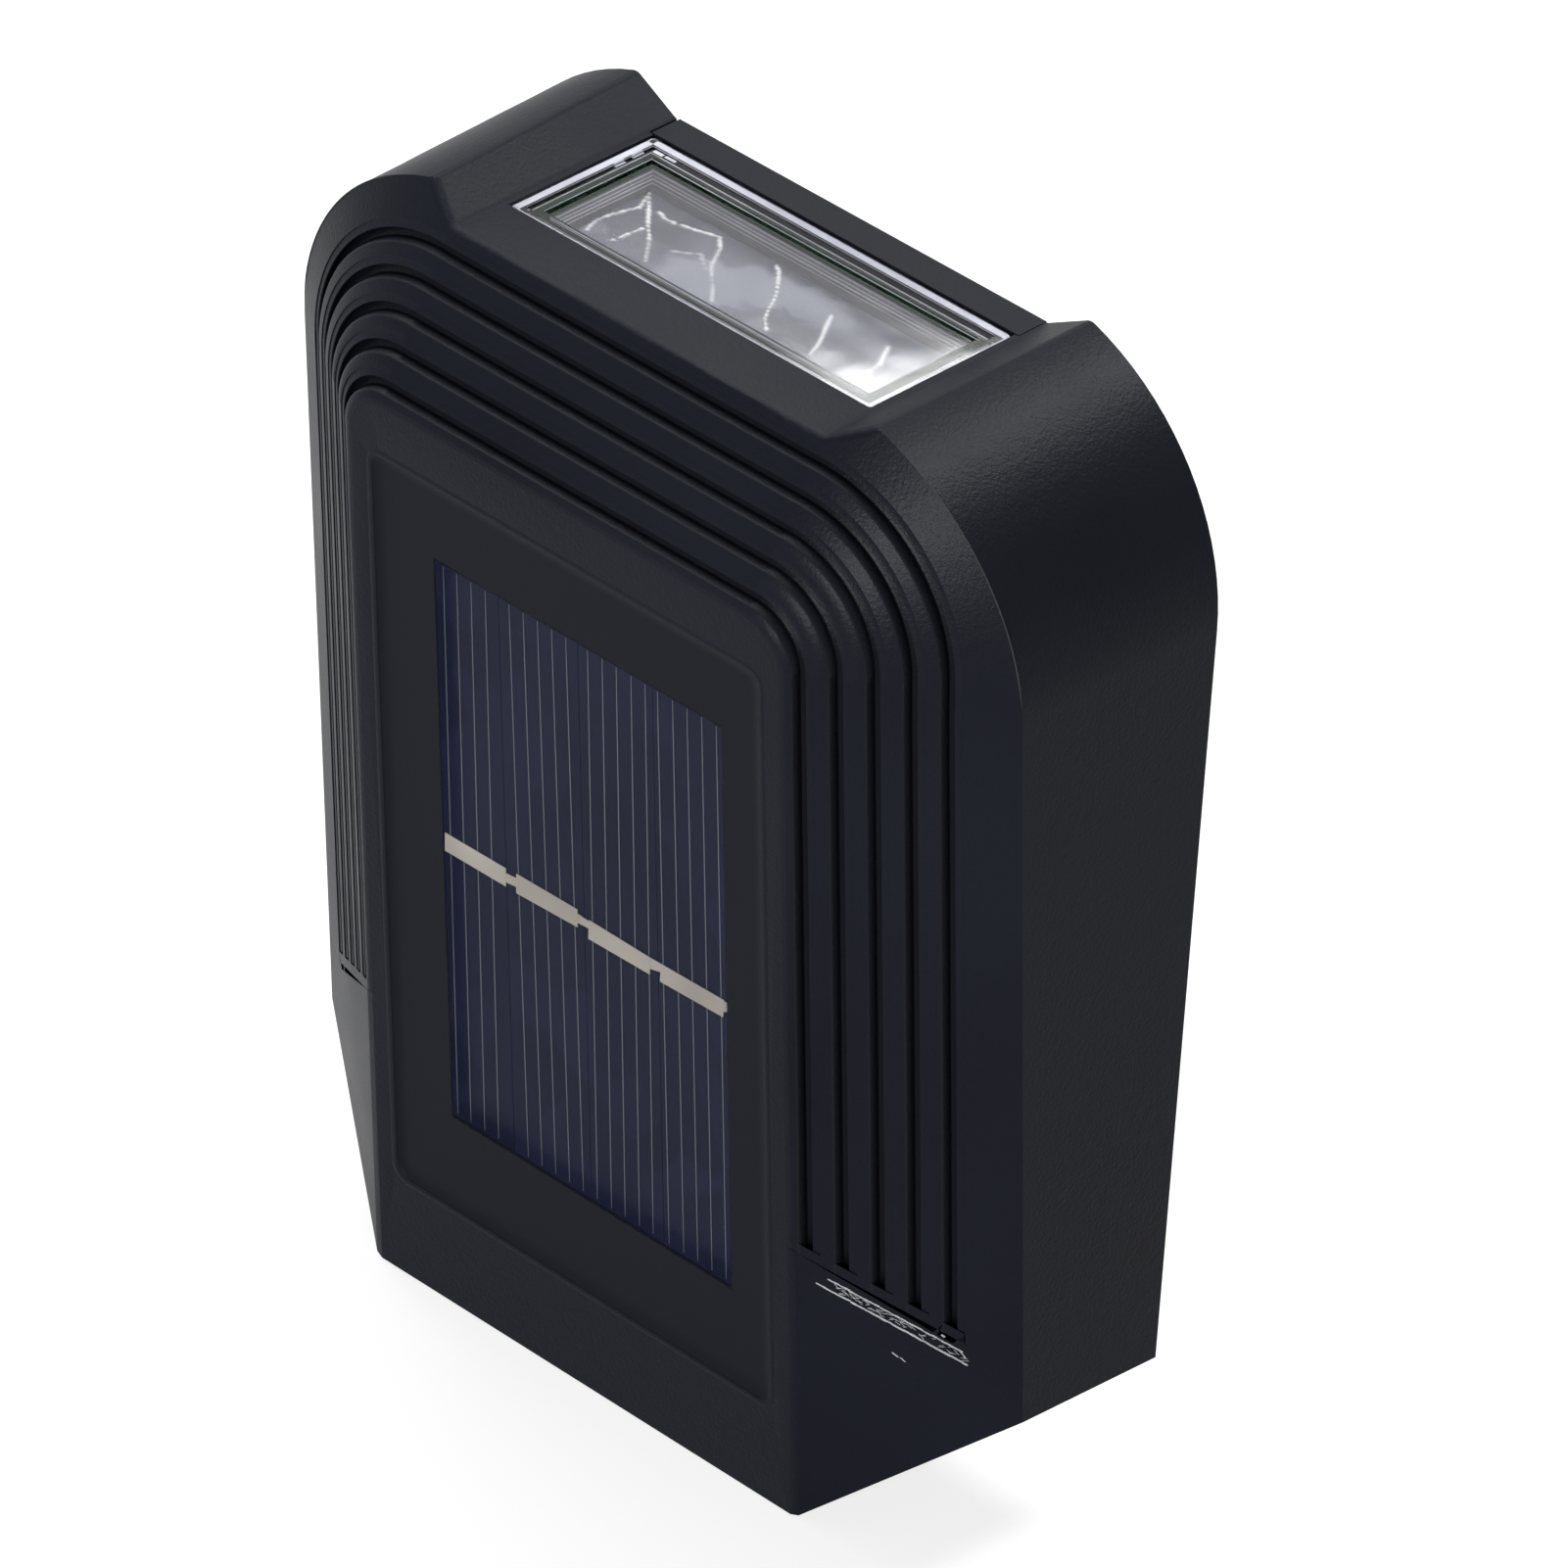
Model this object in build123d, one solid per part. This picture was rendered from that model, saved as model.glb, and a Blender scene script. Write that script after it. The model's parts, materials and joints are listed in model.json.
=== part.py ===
from build123d import *
import os
from math import cos, radians, sin, tan

os.makedirs("parts", exist_ok=True)

# Frame: the wall plane is y = 0, the light's front looks along -Y, +Z is up (lens end up),
# and the origin is the centre of the wall face. Millimetres.

# ---- body: face, sloping surround and rear box ----
FACE_TILT = 5.3             # degrees the face leans away from the wall towards the lens end
NOSE_DEPTH = 24.0           # wall plane to the lower edge of the face
WALL_CENTRE_UP = 58.0       # height of the wall face's centre above the lower edge of the face
FACE_SIDE_BORDER = 3.1      # panel's side to the face's side
FACE_TOP_BORDER = 5.8       # panel's top to the face's top
FACE_CORNER = 4.0
FACE_EDGE_SOFT = 0.5        # softened edge between the face and the surround
CREASE_DEPTH = 10.2         # face to crease plane, square to the face
CREASE_BOTTOM = 12.5        # heights of the crease, measured along the face
TOP_SLOPE = 14.9            # face's top to the crease's top
CREASE_CORNER = 21.3
REAR_FLARE = 0.55           # mould draft of the rear box from crease to wall
RIM_STEP = 0.2              # housing rim stands this far in front of the wall plane
SIDE_WALL = 2.6
SLOPE_WALL = 2.4            # measured square to the face
FRONT_WALL = 1.6            # floor of the solar panel's pocket
RIM_WALL = 1.4              # rim outside the back cover
ROOT = 0.6                  # how far a boss or rail runs into the wall that it grows from

# ---- stepped grooves round the face ----
GROOVE_COUNT = 5
GROOVE_PITCH = 2.38
GROOVE_WIDTH = 0.72
GROOVE_DEPTH = 0.75
TREAD_WIDTH = 0.67
TREAD_STEP = 0.12
FIRST_GROOVE_OUT = 1.3      # face's side to the first groove's outer wall
GROOVE_END = 28.5           # the grooves stop at a 45 degree plane this far up the face

# ---- recess across the lens end ----
RECESS_DROP = 2.9           # crease's top to the recess floor
RECESS_SIDE_GAP = 0.55      # lens to the foot of each slanted side wall
RECESS_WALL_SLOPE = 28.0    # degrees of each slanted side wall above the floor
RECESS_ROUND = 1.6
RECESS_SKIN = 2.0           # housing wall under the floor and behind the side walls
RECESS_EDGE_ROUND = 1.0     # crests beside the recess and its front rim

# ---- solar panel ----
PANEL_HALF_WIDTH = 20.6
PANEL_BOTTOM = 10.5
PANEL_TOP = 81.9
PANEL_CORNER = 1.2
PANEL_SINK = 0.3            # face to panel surface
PANEL_BEVEL = 0.35
PANEL_CLEARANCE = 0.15
RESIN = 1.0
CELL = 0.25
CELL_BOARD = 1.2
PANEL_TAPE = 0.4
CELL_SIDE_MARGIN = 4.7      # panel's side to the cells
CELL_END_MARGIN = 8.0       # panel's top and bottom to the cells
CELL_SHIFT = 0.3            # the cells sit a little right of the panel's centre line
CELL_STRIPS = 4
CELL_GAP = 0.25
RIBBON_WIDTH = 1.75
RIBBON = 0.1
RIBBON_RISE = 0.4           # above the middle of the cells
RIBBON_SHIFTS = (-0.1, -0.15, 0.0, 0.2)     # hand-laid: no two ribbons line up
TAPE_INSET = 0.3
TAPE_WIDTH = 4.7
WIRE_PASSAGE_R = 2.6
WIRE_PASSAGE_RISE = 23.5    # panel's bottom to the wire passage

# ---- lens, reflector and light board ----
LENS_HALF_WIDTH = 19.35
LENS_BAR_GAP = 0.3          # cover's bar to the lens's rear edge
LENS_LENGTH = 15.7
LENS_FLANGE = 1.1
LENS_CORNER = 0.5
LENS_LEDGE = 1.0            # width of the ledge that the flange rests on
LENS_BOX_DEPTH = 7.6        # flange top to the lower edge of the lens box
LENS_WALL = 1.2
LENS_TOP = 1.4
LENS_SINK = 0.15            # recess floor to lens surface
LENS_CLEARANCE = 0.12
LENS_SEAL = 0.3
LENS_SEAL_OUT = 0.25        # seal's inner edge to the ledge's inner edge
LENS_RIM = 0.9              # raised rims on the lens
LENS_RIM_STEP = 0.3
REFLECTOR_WALL = 0.8
REFLECTOR_HEIGHT = 4.4
REFLECTOR_GAP = 0.3
REFLECTOR_SPREAD = 1.4      # how far each wall leans out
LIGHT_BOARD = 1.2
LIGHT_BOARD_GAP = 0.2
LED_COUNT = 3
LED_PITCH = 10.5
LED_SIZE = (3.5, 2.8, 1.0)
LED_WELL_R = 1.05
LED_WELL = 0.4
LED_CLEARANCE = 0.2
RAIL = 1.5
RAIL_LAP = 1.0              # width of the board's end that each rail carries
RAIL_GAP = 0.3

# ---- back cover ----
COVER = 2.4
COVER_CLEARANCE = 0.15
COVER_BAR_DEPTH = 3.1       # front to back size of the cover's top edge beside the lens
COVER_BAR_HEIGHT = 5.0
SEAL = 0.6
SEAL_WIDTH = 0.95
LEDGE_DEPTH = COVER + SEAL

# ---- screws through the cover ----
BATTERY_BOSS_GAP = 1.1      # battery holder to the lower screws' bosses
LOWER_SCREW_IN = 5.4        # from the crease's side to the lower screws
LOWER_SCREW_RISE = 6.4      # from the crease's bottom to the lower screws
UPPER_SCREW_IN = 8.0
UPPER_SCREW_DROP = 15.1     # from the crease's top to the upper screws
SCREW_R = 1.1
SCREW_BITE = 0.1
SCREW_LENGTH = 8.0
SCREW_HOLE_SPARE = 0.25     # hole's depth past the screw's point
SCREW_HEAD_R = 2.1
SCREW_HEAD = 1.1
SCREW_HEAD_SINK = 0.25
SCREW_HEAD_ROUND = 0.38
SCREW_CLEARANCE = 0.25
BOSS_WALL = 1.6
CROSS_LENGTH = 2.6
CROSS_WIDTH = 0.6
CROSS_DEPTH = 0.6

# ---- hanger keyholes ----
KEYHOLE_SPREAD = 20.0       # each side of the centre line
KEYHOLE_DROP = 28.1         # crease's top to the keyholes' round entries
KEYHOLE_HEAD_R = 4.0
KEYHOLE_SLOT_R = 2.1
KEYHOLE_RISE = 7.0
KEYHOLE_LIP = 1.6
KEYHOLE_ROOM = 4.4
KEYHOLE_WALL = 1.0

# ---- power button and switch ----
BUTTON_R = 3.5
BUTTON_RUNNING_GAP = 0.06
BUTTON_SINK = 0.9           # wall plane to the button's face
BUTTON_FLANGE_R = 4.8
BUTTON_FLANGE = 0.8
BUTTON_TRAVEL = 1.2
BUTTON_DISH_R = 7.5
BUTTON_DISH = 0.7
BUTTON_SEAL = 0.7
BUTTON_SEAL_GAP = 0.3
BUTTON_SEAL_LAP = 1.2       # seal's outer edge past the button's flange
BUTTON_SEAL_BORE_GAP = 0.4
BUTTON_FACE_ROUND = 0.4
PLUNGER_R = 1.4
PLUNGER_SOCKET = 1.0
PLUNGER_PLAY = 0.4          # room left under the button at full travel
PLUNGER_IN = 0.6            # plunger's reach into the switch at rest
PLUNGER_WELL_SPARE = 0.2
SWITCH_SIZE = 7.0
SWITCH_HEIGHT = 3.6
SWITCH_LEG = 0.6
SWITCH_LEG_OUT = 0.8
SWITCH_LEG_ROOT = 0.2
SWITCH_LEG_CLEARANCE = 0.1

# ---- main board ----
BOARD_HALF_WIDTH = 17.5
BOARD_HEIGHT = 22.0
BOARD = 1.2
BOARD_CORNER = 1.0
BOARD_HOLDER_GAP = 2.8      # battery holder to the main board's lower edge
POST_SPREAD = 14.0
POST_R = 2.4
BOARD_SCREW_R = 0.9
BOARD_SCREW_HEAD_R = 1.8
BOARD_SCREW_HEAD = 1.1
BOARD_SCREW_LENGTH = 5.5
BOARD_SCREW_ROUND = 0.38
CHIP = (5.0, 4.0, 1.5)
CHIP_SPOT = (7.0, -5.0)
CHIP_LEGS = 4               # a side
CHIP_LEG_PITCH = 1.27
CHIP_LEG = (0.4, 0.4, 0.8)  # width, thickness and reach
INDUCTOR_R = 2.9
INDUCTOR_HEIGHT = 4.2
INDUCTOR_FLANGE = 0.8
INDUCTOR_WAIST = 0.5
INDUCTOR_SPOT = (-7.5, 5.0)
CAPACITOR_R = 2.0
CAPACITOR_HEIGHT = 5.0
CAPACITOR_ROUND = 0.3
CAPACITOR_SPOTS = ((7.0, 5.5), (-7.5, -5.5))

# ---- battery ----
CELL_R = 7.1
CELL_LENGTH = 49.2
CELL_TIP_R = 2.6
CELL_TIP = 1.2
CELL_END_ROUND = 0.5
HOLDER_FLOOR_GAP = 3.2      # housing's underside to the holder
HOLDER_BASE = 1.2
HOLDER_WALL = 1.4
HOLDER_RAIL = 5.0
HOLDER_GAP = 0.3
HOLDER_CRADLE = 0.12        # least gap between the cell and its cradle
HOLDER_END_REACH = 4.3      # holder's end walls past the cell's axis
CONTACT = 0.4
CONTACT_SIZE = 9.0
SPRING_WIRE_R = 0.35
SPRING_R = 3.2
SPRING_TURNS = 3
SPRING_HEIGHT = 3.4

# ---- wires ----
WIRE_R = 0.6
WIRE_BEND = 1.5
WIRE_LANDING = 4.0          # straight run in front of the main board
WIRE_EDGE_IN = 2.0          # main board's edge to the wires' ends
LED_WIRE_SPREAD = 2.2
LED_WIRE_DROP = 12.0
PANEL_WIRE_SPREAD = 1.3
PANEL_WIRE_GAP = 0.1
PANEL_WIRE_RUN = 6.5
PANEL_WIRE_SLANT = 1.5
BATTERY_WIRE_OUT = 2.0      # holder's end to the wires beside it
BATTERY_WIRE_IN = 2.5
BATTERY_WIRE_TOP = 1.0      # contact's upper edge to the wires

# ---- sizes and places worked out from the values above ----
FACE_HALF_WIDTH = PANEL_HALF_WIDTH + FACE_SIDE_BORDER
FACE_TOP = PANEL_TOP + FACE_TOP_BORDER
CREASE_TOP = FACE_TOP + TOP_SLOPE
HOLDER_LEFT = -CELL_LENGTH / 2 - SPRING_HEIGHT - CONTACT
HOLDER_RIGHT = CELL_LENGTH / 2 + CELL_TIP + CONTACT
LOWER_SCREW_X = HOLDER_WALL - HOLDER_LEFT + BATTERY_BOSS_GAP + BOSS_WALL + SCREW_R
CREASE_HALF_WIDTH = LOWER_SCREW_X + LOWER_SCREW_IN
SLOPE = CREASE_DEPTH / (CREASE_HALF_WIDTH - FACE_HALF_WIDTH)


def face_y(up, depth):
    return depth * cos(radians(FACE_TILT)) - up * sin(radians(FACE_TILT)) - NOSE_DEPTH


def face_z(up, depth):
    return depth * sin(radians(FACE_TILT)) + up * cos(radians(FACE_TILT)) - WALL_CENTRE_UP


CREASE_LOW = face_z(CREASE_BOTTOM, CREASE_DEPTH)
CREASE_HIGH = face_z(CREASE_TOP, CREASE_DEPTH)
FRONT_REACH = face_y(CREASE_TOP, 0)
RECESS_FLOOR_UP = CREASE_HIGH - RECESS_DROP
RECESS_HALF_WIDTH = LENS_HALF_WIDTH + RECESS_SIDE_GAP
LENS_BACK = COVER_BAR_DEPTH + LENS_BAR_GAP
LENS_TOP_UP = RECESS_FLOOR_UP - LENS_SINK
LENS_CENTRE_Y = -LENS_BACK - LENS_LENGTH / 2
LENS_BOX_FOOT = LENS_TOP_UP - LENS_BOX_DEPTH
LEDGE_UP = LENS_TOP_UP - LENS_FLANGE - LENS_SEAL
LIGHT_BOARD_UP = LENS_BOX_FOOT - LIGHT_BOARD_GAP - LIGHT_BOARD
BOX_HALF_WIDTH = LENS_HALF_WIDTH - LENS_LEDGE
BOX_LENGTH = LENS_LENGTH - 2 * LENS_LEDGE
PANEL_BACK = PANEL_SINK + RESIN + CELL + CELL_BOARD
POCKET_FLOOR = PANEL_BACK + PANEL_TAPE
INNER_FRONT = POCKET_FLOOR + FRONT_WALL
BUTTON_FLANGE_Y = -COVER - BUTTON_SEAL - BUTTON_SEAL_GAP
PLUNGER_ROOT_Y = BUTTON_FLANGE_Y - BUTTON_FLANGE
SWITCH_TOP_Y = PLUNGER_ROOT_Y - BUTTON_TRAVEL - PLUNGER_PLAY
BOARD_Y = SWITCH_TOP_Y - SWITCH_HEIGHT
HOLDER_HALF_HEIGHT = CELL_R + HOLDER_GAP + HOLDER_WALL
BATTERY_Y = -COVER - HOLDER_BASE - HOLDER_GAP - CELL_R
BATTERY_UP = CREASE_LOW + HOLDER_FLOOR_GAP + HOLDER_HALF_HEIGHT
BUTTON_UP = BATTERY_UP + HOLDER_HALF_HEIGHT + BOARD_HOLDER_GAP + BOARD_HEIGHT / 2
KEYHOLE_UP = CREASE_HIGH - KEYHOLE_DROP
CELLS_BOTTOM = PANEL_BOTTOM + CELL_END_MARGIN
CELLS_TOP = PANEL_TOP - CELL_END_MARGIN
CELLS_HALF_WIDTH = PANEL_HALF_WIDTH - CELL_SIDE_MARGIN
RIBBON_UP = (CELLS_BOTTOM + CELLS_TOP) / 2 + RIBBON_RISE
WIRE_PASSAGE_UP = PANEL_BOTTOM + WIRE_PASSAGE_RISE


def on_face(shape):
    """Carry a shape drawn square to the face (y = depth behind it, z = up it) to its place."""
    return Pos(0, -NOSE_DEPTH, -WALL_CENTRE_UP) * Rot(FACE_TILT, 0, 0) * shape


def upright(y):
    """Plane seen from the front, with x to the right and z up, at the given y."""
    return Plane(origin=(0, y, 0), x_dir=(1, 0, 0), z_dir=(0, -1, 0))


def arched(half_width, bottom, top, corner, y):
    """Flat-bottomed outline with two round top corners, at depth y."""
    shoulder = half_width - corner
    spring_line = top - corner
    edge = Line((-half_width, bottom), (half_width, bottom))
    edge += Line((half_width, bottom), (half_width, spring_line))
    edge += CenterArc((shoulder, spring_line), corner, 0, 90)
    edge += Line((shoulder, top), (-shoulder, top))
    edge += CenterArc((-shoulder, spring_line), corner, 90, 90)
    edge += Line((-half_width, spring_line), (-half_width, bottom))
    return upright(y) * make_face(edge)


def block(x0, x1, y0, y1, z0, z1):
    return Pos((x0 + x1) / 2, (y0 + y1) / 2, (z0 + z1) / 2) * Box(x1 - x0, y1 - y0, z1 - z0)


def rod(radius, y_front, y_back, x=0.0, z=0.0):
    """Round bar along Y."""
    length = y_back - y_front
    return Pos(x, (y_front + y_back) / 2, z) * Rot(90, 0, 0) * Cylinder(radius, length)


def crease_outline(inset=0.0, y=CREASE_DEPTH):
    return arched(CREASE_HALF_WIDTH - inset, CREASE_BOTTOM + inset, CREASE_TOP - inset,
                  CREASE_CORNER - inset, y)


def rear_outline(inset=0.0, y=-RIM_STEP):
    bottom = CREASE_LOW - REAR_FLARE + inset
    top = CREASE_HIGH + REAR_FLARE - inset
    return arched(CREASE_HALF_WIDTH + REAR_FLARE - inset, bottom, top,
                  CREASE_CORNER + REAR_FLARE - inset, y)


def slope_section(depth, shift=0.0):
    """Outline of the sloping surround at a depth behind the face."""
    t = depth / CREASE_DEPTH
    half = FACE_HALF_WIDTH + t * (CREASE_HALF_WIDTH - FACE_HALF_WIDTH)
    top = FACE_TOP + t * (CREASE_TOP - FACE_TOP)
    corner = FACE_CORNER + t * (CREASE_CORNER - FACE_CORNER)
    return arched(half, t * CREASE_BOTTOM, top, corner, depth + shift)


def surround(shift=0.0):
    """The sloping surround as a solid, moved back by the shift."""
    return loft([slope_section(0, shift), slope_section(CREASE_DEPTH, shift)], ruled=True)


def outer_body():
    soft = FACE_EDGE_SOFT
    face = arched(FACE_HALF_WIDTH - soft, 0, FACE_TOP - soft, FACE_CORNER - soft, 0)
    front = loft([face, slope_section(soft * SLOPE / 2), slope_section(CREASE_DEPTH)], ruled=True)
    rear = loft([on_face(crease_outline()), rear_outline()], ruled=True)
    return on_face(front) + rear


def recess_profile(grow=0.0):
    """Section of the channel across the lens end: flat floor, slanted walls, rounded between."""
    rise = 2 * (RECESS_DROP + REAR_FLARE + grow)
    run = rise / tan(radians(RECESS_WALL_SLOPE))
    half = RECESS_HALF_WIDTH + grow * tan(radians(45 - RECESS_WALL_SLOPE / 2))
    floor = RECESS_FLOOR_UP - grow
    points = [(-half - run, floor + rise), (-half, floor), (half, floor), (half + run, floor + rise)]
    edge = FilletPolyline(*points, radius=RECESS_ROUND + grow)
    edge += Line(points[-1], points[0])
    return upright(0) * make_face(edge)


def recess_cutter(grow=0.0):
    return extrude(recess_profile(grow), amount=-2 * FRONT_REACH, both=True)


def recessed_body():
    """Outer body with the lens recess cut, its crests and its front rim rounded."""
    body = outer_body() - recess_cutter()
    upper = body.edges().filter_by(lambda e: e.bounding_box().min.Z > RECESS_FLOOR_UP - 0.1)
    rim = upper.filter_by(lambda e: e.bounding_box().max.Y < -LENS_BACK - LENS_LENGTH)
    crest_foot = RECESS_FLOOR_UP + RECESS_ROUND / 2
    crests = upper.filter_by(lambda e: e.bounding_box().min.Z > crest_foot
                             and e.bounding_box().size.Y > LENS_LENGTH)
    return fillet(rim + crests, RECESS_EDGE_ROUND)


def ring(outer_edge, inner_edge):
    """Ring between two arched outlines round the face, through the whole surround."""

    def drum(edge):
        radius = edge - FACE_HALF_WIDTH + FACE_CORNER
        face = arched(edge, 0, edge - FACE_HALF_WIDTH + FACE_TOP, radius, CREASE_DEPTH)
        return extrude(face, amount=CREASE_DEPTH + 1)

    return drum(outer_edge) - drum(inner_edge)


def face_grooves():
    """Grooves round the face, and the shallow tread outside each, both of even depth."""
    reach = 2 * CREASE_TOP
    slanted_end = Pos(0, 0, GROOVE_END) * Rot(-45, 0, 0) * block(-reach, reach, -reach, reach, 0, reach)
    first = FACE_HALF_WIDTH + FIRST_GROOVE_OUT
    edges = [first + i * GROOVE_PITCH for i in range(GROOVE_COUNT)]
    grooves = [ring(edge, edge - GROOVE_WIDTH) for edge in edges]
    treads = [ring(edge + TREAD_WIDTH, edge - GROOVE_WIDTH / 2) for edge in edges]
    cutters = [groove & slanted_end - surround(GROOVE_DEPTH) for groove in grooves]
    cutters += [tread & slanted_end - surround(TREAD_STEP) for tread in treads]
    return [on_face(cutter) for cutter in cutters]


def main_cavity():
    """Hollow of the housing, open at the wall side."""
    side = loft([on_face(crease_outline(SIDE_WALL, INNER_FRONT)), rear_outline(SIDE_WALL, 1)],
                ruled=True)
    behind = extrude(crease_outline(0, CREASE_DEPTH + SLOPE_WALL), amount=FRONT_REACH)
    slope = on_face(surround(SLOPE_WALL) + behind)
    return (side & slope) - recess_cutter(RECESS_SKIN)


def panel_outline(inset, y):
    shape = RectangleRounded(2 * (PANEL_HALF_WIDTH - inset), PANEL_TOP - PANEL_BOTTOM - 2 * inset,
                             PANEL_CORNER)
    return upright(y) * Pos(0, (PANEL_TOP + PANEL_BOTTOM) / 2) * shape


def panel_pocket():
    """Pocket for the solar panel, with a bevelled mouth on the face."""
    wide = panel_outline(-PANEL_CLEARANCE - PANEL_BEVEL, 0)
    snug = panel_outline(-PANEL_CLEARANCE, PANEL_SINK)
    mouth = loft([wide, snug], ruled=True)
    well = extrude(snug, amount=-(POCKET_FLOOR - PANEL_SINK))
    return on_face(mouth + well)


def wire_passage():
    return on_face(rod(WIRE_PASSAGE_R, POCKET_FLOOR - 1, INNER_FRONT + 1, 0, WIRE_PASSAGE_UP))


def lens_window():
    half = LENS_HALF_WIDTH + LENS_CLEARANCE
    front = -LENS_BACK - LENS_LENGTH - LENS_CLEARANCE
    seat = block(-half, half, front, 1, LEDGE_UP, RECESS_FLOOR_UP + 1)
    inner = LENS_LEDGE - LENS_CLEARANCE
    through = block(-half + inner, half - inner, front + inner, 1, LIGHT_BOARD_UP, LEDGE_UP + 1)
    return seat + through


def rail(side):
    """L-shaped runner that carries one end of the light board."""
    top = LIGHT_BOARD_UP
    inner = BOX_HALF_WIDTH - RAIL_LAP
    outer = BOX_HALF_WIDTH + RAIL_GAP + RAIL
    y0 = -LENS_BACK - LENS_LENGTH
    y1 = -LEDGE_DEPTH - RAIL
    foot = block(inner, outer, y0, y1, top - RAIL, top)
    web = block(outer - RAIL, outer, y0, y1, top - RAIL, RECESS_FLOOR_UP - RECESS_SKIN + ROOT)
    shape = foot + web
    return shape if side > 0 else mirror(shape, Plane.YZ)


def screw_spots():
    rows = ((LOWER_SCREW_X, CREASE_LOW + LOWER_SCREW_RISE),
            (CREASE_HALF_WIDTH - UPPER_SCREW_IN, CREASE_HIGH - UPPER_SCREW_DROP))
    return [(side * x, z) for x, z in rows for side in (1, -1)]


def screw_bosses(body):
    bosses = [rod(SCREW_R + BOSS_WALL, FRONT_REACH, -COVER, x, z) for x, z in screw_spots()]
    return [boss & body for boss in bosses]


def front_housing():
    body = recessed_body()
    shell = body - main_cavity()
    for boss in screw_bosses(body):
        shell += boss
    shell += rail(1)
    shell += rail(-1)
    ledge_cut = extrude(rear_outline(RIM_WALL, -LEDGE_DEPTH), amount=-LEDGE_DEPTH - 1)
    ledge_cut -= recess_cutter(RIM_WALL)
    for x, z in screw_spots():
        ledge_cut -= rod(SCREW_R + BOSS_WALL, -LEDGE_DEPTH - 1, -COVER, x, z)
    shell -= ledge_cut
    bar_half = RECESS_HALF_WIDTH
    bar_front = -COVER_BAR_DEPTH - COVER_CLEARANCE
    shell -= block(-bar_half, bar_half, bar_front, 1,
                   RECESS_FLOOR_UP - COVER_BAR_HEIGHT - COVER_CLEARANCE, RECESS_FLOOR_UP + 1)
    shell -= lens_window()
    shell -= panel_pocket()
    shell -= wire_passage()
    for x, z in screw_spots():
        hole_end = -SCREW_HEAD_SINK - SCREW_LENGTH - SCREW_HOLE_SPARE
        shell -= rod(SCREW_R - SCREW_BITE, hole_end, 0, x, z)
    for cutter in face_grooves():
        shell -= cutter
    return shell


def light_lens():
    """Clear box: flange on the housing ledge, thick top, thin walls, open below."""
    half = LENS_HALF_WIDTH
    back = -LENS_BACK
    front = back - LENS_LENGTH
    flange = block(-half, half, front, back, LENS_TOP_UP - LENS_FLANGE, LENS_TOP_UP)
    flange = fillet(flange.edges().filter_by(Axis.Z), LENS_CORNER)
    box_front = front + LENS_LEDGE
    box_back = back - LENS_LEDGE
    box = block(-BOX_HALF_WIDTH, BOX_HALF_WIDTH, box_front, box_back, LENS_BOX_FOOT, LENS_TOP_UP)
    hollow = block(-BOX_HALF_WIDTH + LENS_WALL, BOX_HALF_WIDTH - LENS_WALL, box_front + LENS_WALL,
                   box_back - LENS_WALL, LENS_BOX_FOOT - 1, LENS_TOP_UP - LENS_TOP)
    lens = flange + box - hollow
    for step in (1, 2):
        edge = step * LENS_RIM
        dip = block(-half + edge, half - edge, front + edge, back - edge,
                    LENS_TOP_UP - step * LENS_RIM_STEP, LENS_TOP_UP + 1)
        lens -= dip
    return lens


def lens_seal():
    half = LENS_HALF_WIDTH
    back = -LENS_BACK
    front = back - LENS_LENGTH
    inner = LENS_LEDGE - LENS_SEAL_OUT
    low = LEDGE_UP
    ring_block = block(-half, half, front, back, low, low + LENS_SEAL)
    hole = block(-half + inner, half - inner, front + inner, back + 1, low - 1, low + 1)
    return ring_block - hole


def light_board():
    half = BOX_HALF_WIDTH
    y0 = -LENS_BACK - LENS_LENGTH + LENS_LEDGE
    return block(-half, half, y0, y0 + BOX_LENGTH, LIGHT_BOARD_UP, LIGHT_BOARD_UP + LIGHT_BOARD)


def leds():
    width, length, height = LED_SIZE
    low = LIGHT_BOARD_UP + LIGHT_BOARD
    chips = []
    for i in range(LED_COUNT):
        x = (i - (LED_COUNT - 1) / 2) * LED_PITCH
        chip = Pos(x, LENS_CENTRE_Y, low + height / 2) * Box(width, length, height)
        well = Pos(x, LENS_CENTRE_Y, low + height) * Cylinder(LED_WELL_R, LED_WELL)
        chips.append(chip - well)
    return Compound(children=chips)


def reflector():
    """Bright tray round the light chips, with walls that open upwards."""
    half = BOX_HALF_WIDTH - LENS_WALL - REFLECTOR_GAP
    length = BOX_LENGTH - 2 * (LENS_WALL + REFLECTOR_GAP)
    low = LIGHT_BOARD_UP + LIGHT_BOARD
    outer = Pos(0, LENS_CENTRE_Y, low + REFLECTOR_HEIGHT / 2) * Box(2 * half, length, REFLECTOR_HEIGHT)
    floor_in = REFLECTOR_WALL + REFLECTOR_SPREAD
    floor_sketch = Plane.XY.offset(low + REFLECTOR_WALL) * Pos(0, LENS_CENTRE_Y) * Rectangle(
        2 * (half - floor_in), length - 2 * floor_in)
    mouth_sketch = Plane.XY.offset(low + REFLECTOR_HEIGHT) * Pos(0, LENS_CENTRE_Y) * Rectangle(
        2 * (half - REFLECTOR_WALL), length - 2 * REFLECTOR_WALL)
    tray = outer - loft([floor_sketch, mouth_sketch], ruled=True)
    width, depth, _ = LED_SIZE
    for i in range(LED_COUNT):
        x = (i - (LED_COUNT - 1) / 2) * LED_PITCH
        tray -= Pos(x, LENS_CENTRE_Y, low) * Box(
            width + 2 * LED_CLEARANCE, depth + 2 * LED_CLEARANCE, 4 * REFLECTOR_WALL)
    return tray


def panel_layer(front, thickness):
    return on_face(extrude(panel_outline(0, front), amount=-thickness))


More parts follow.
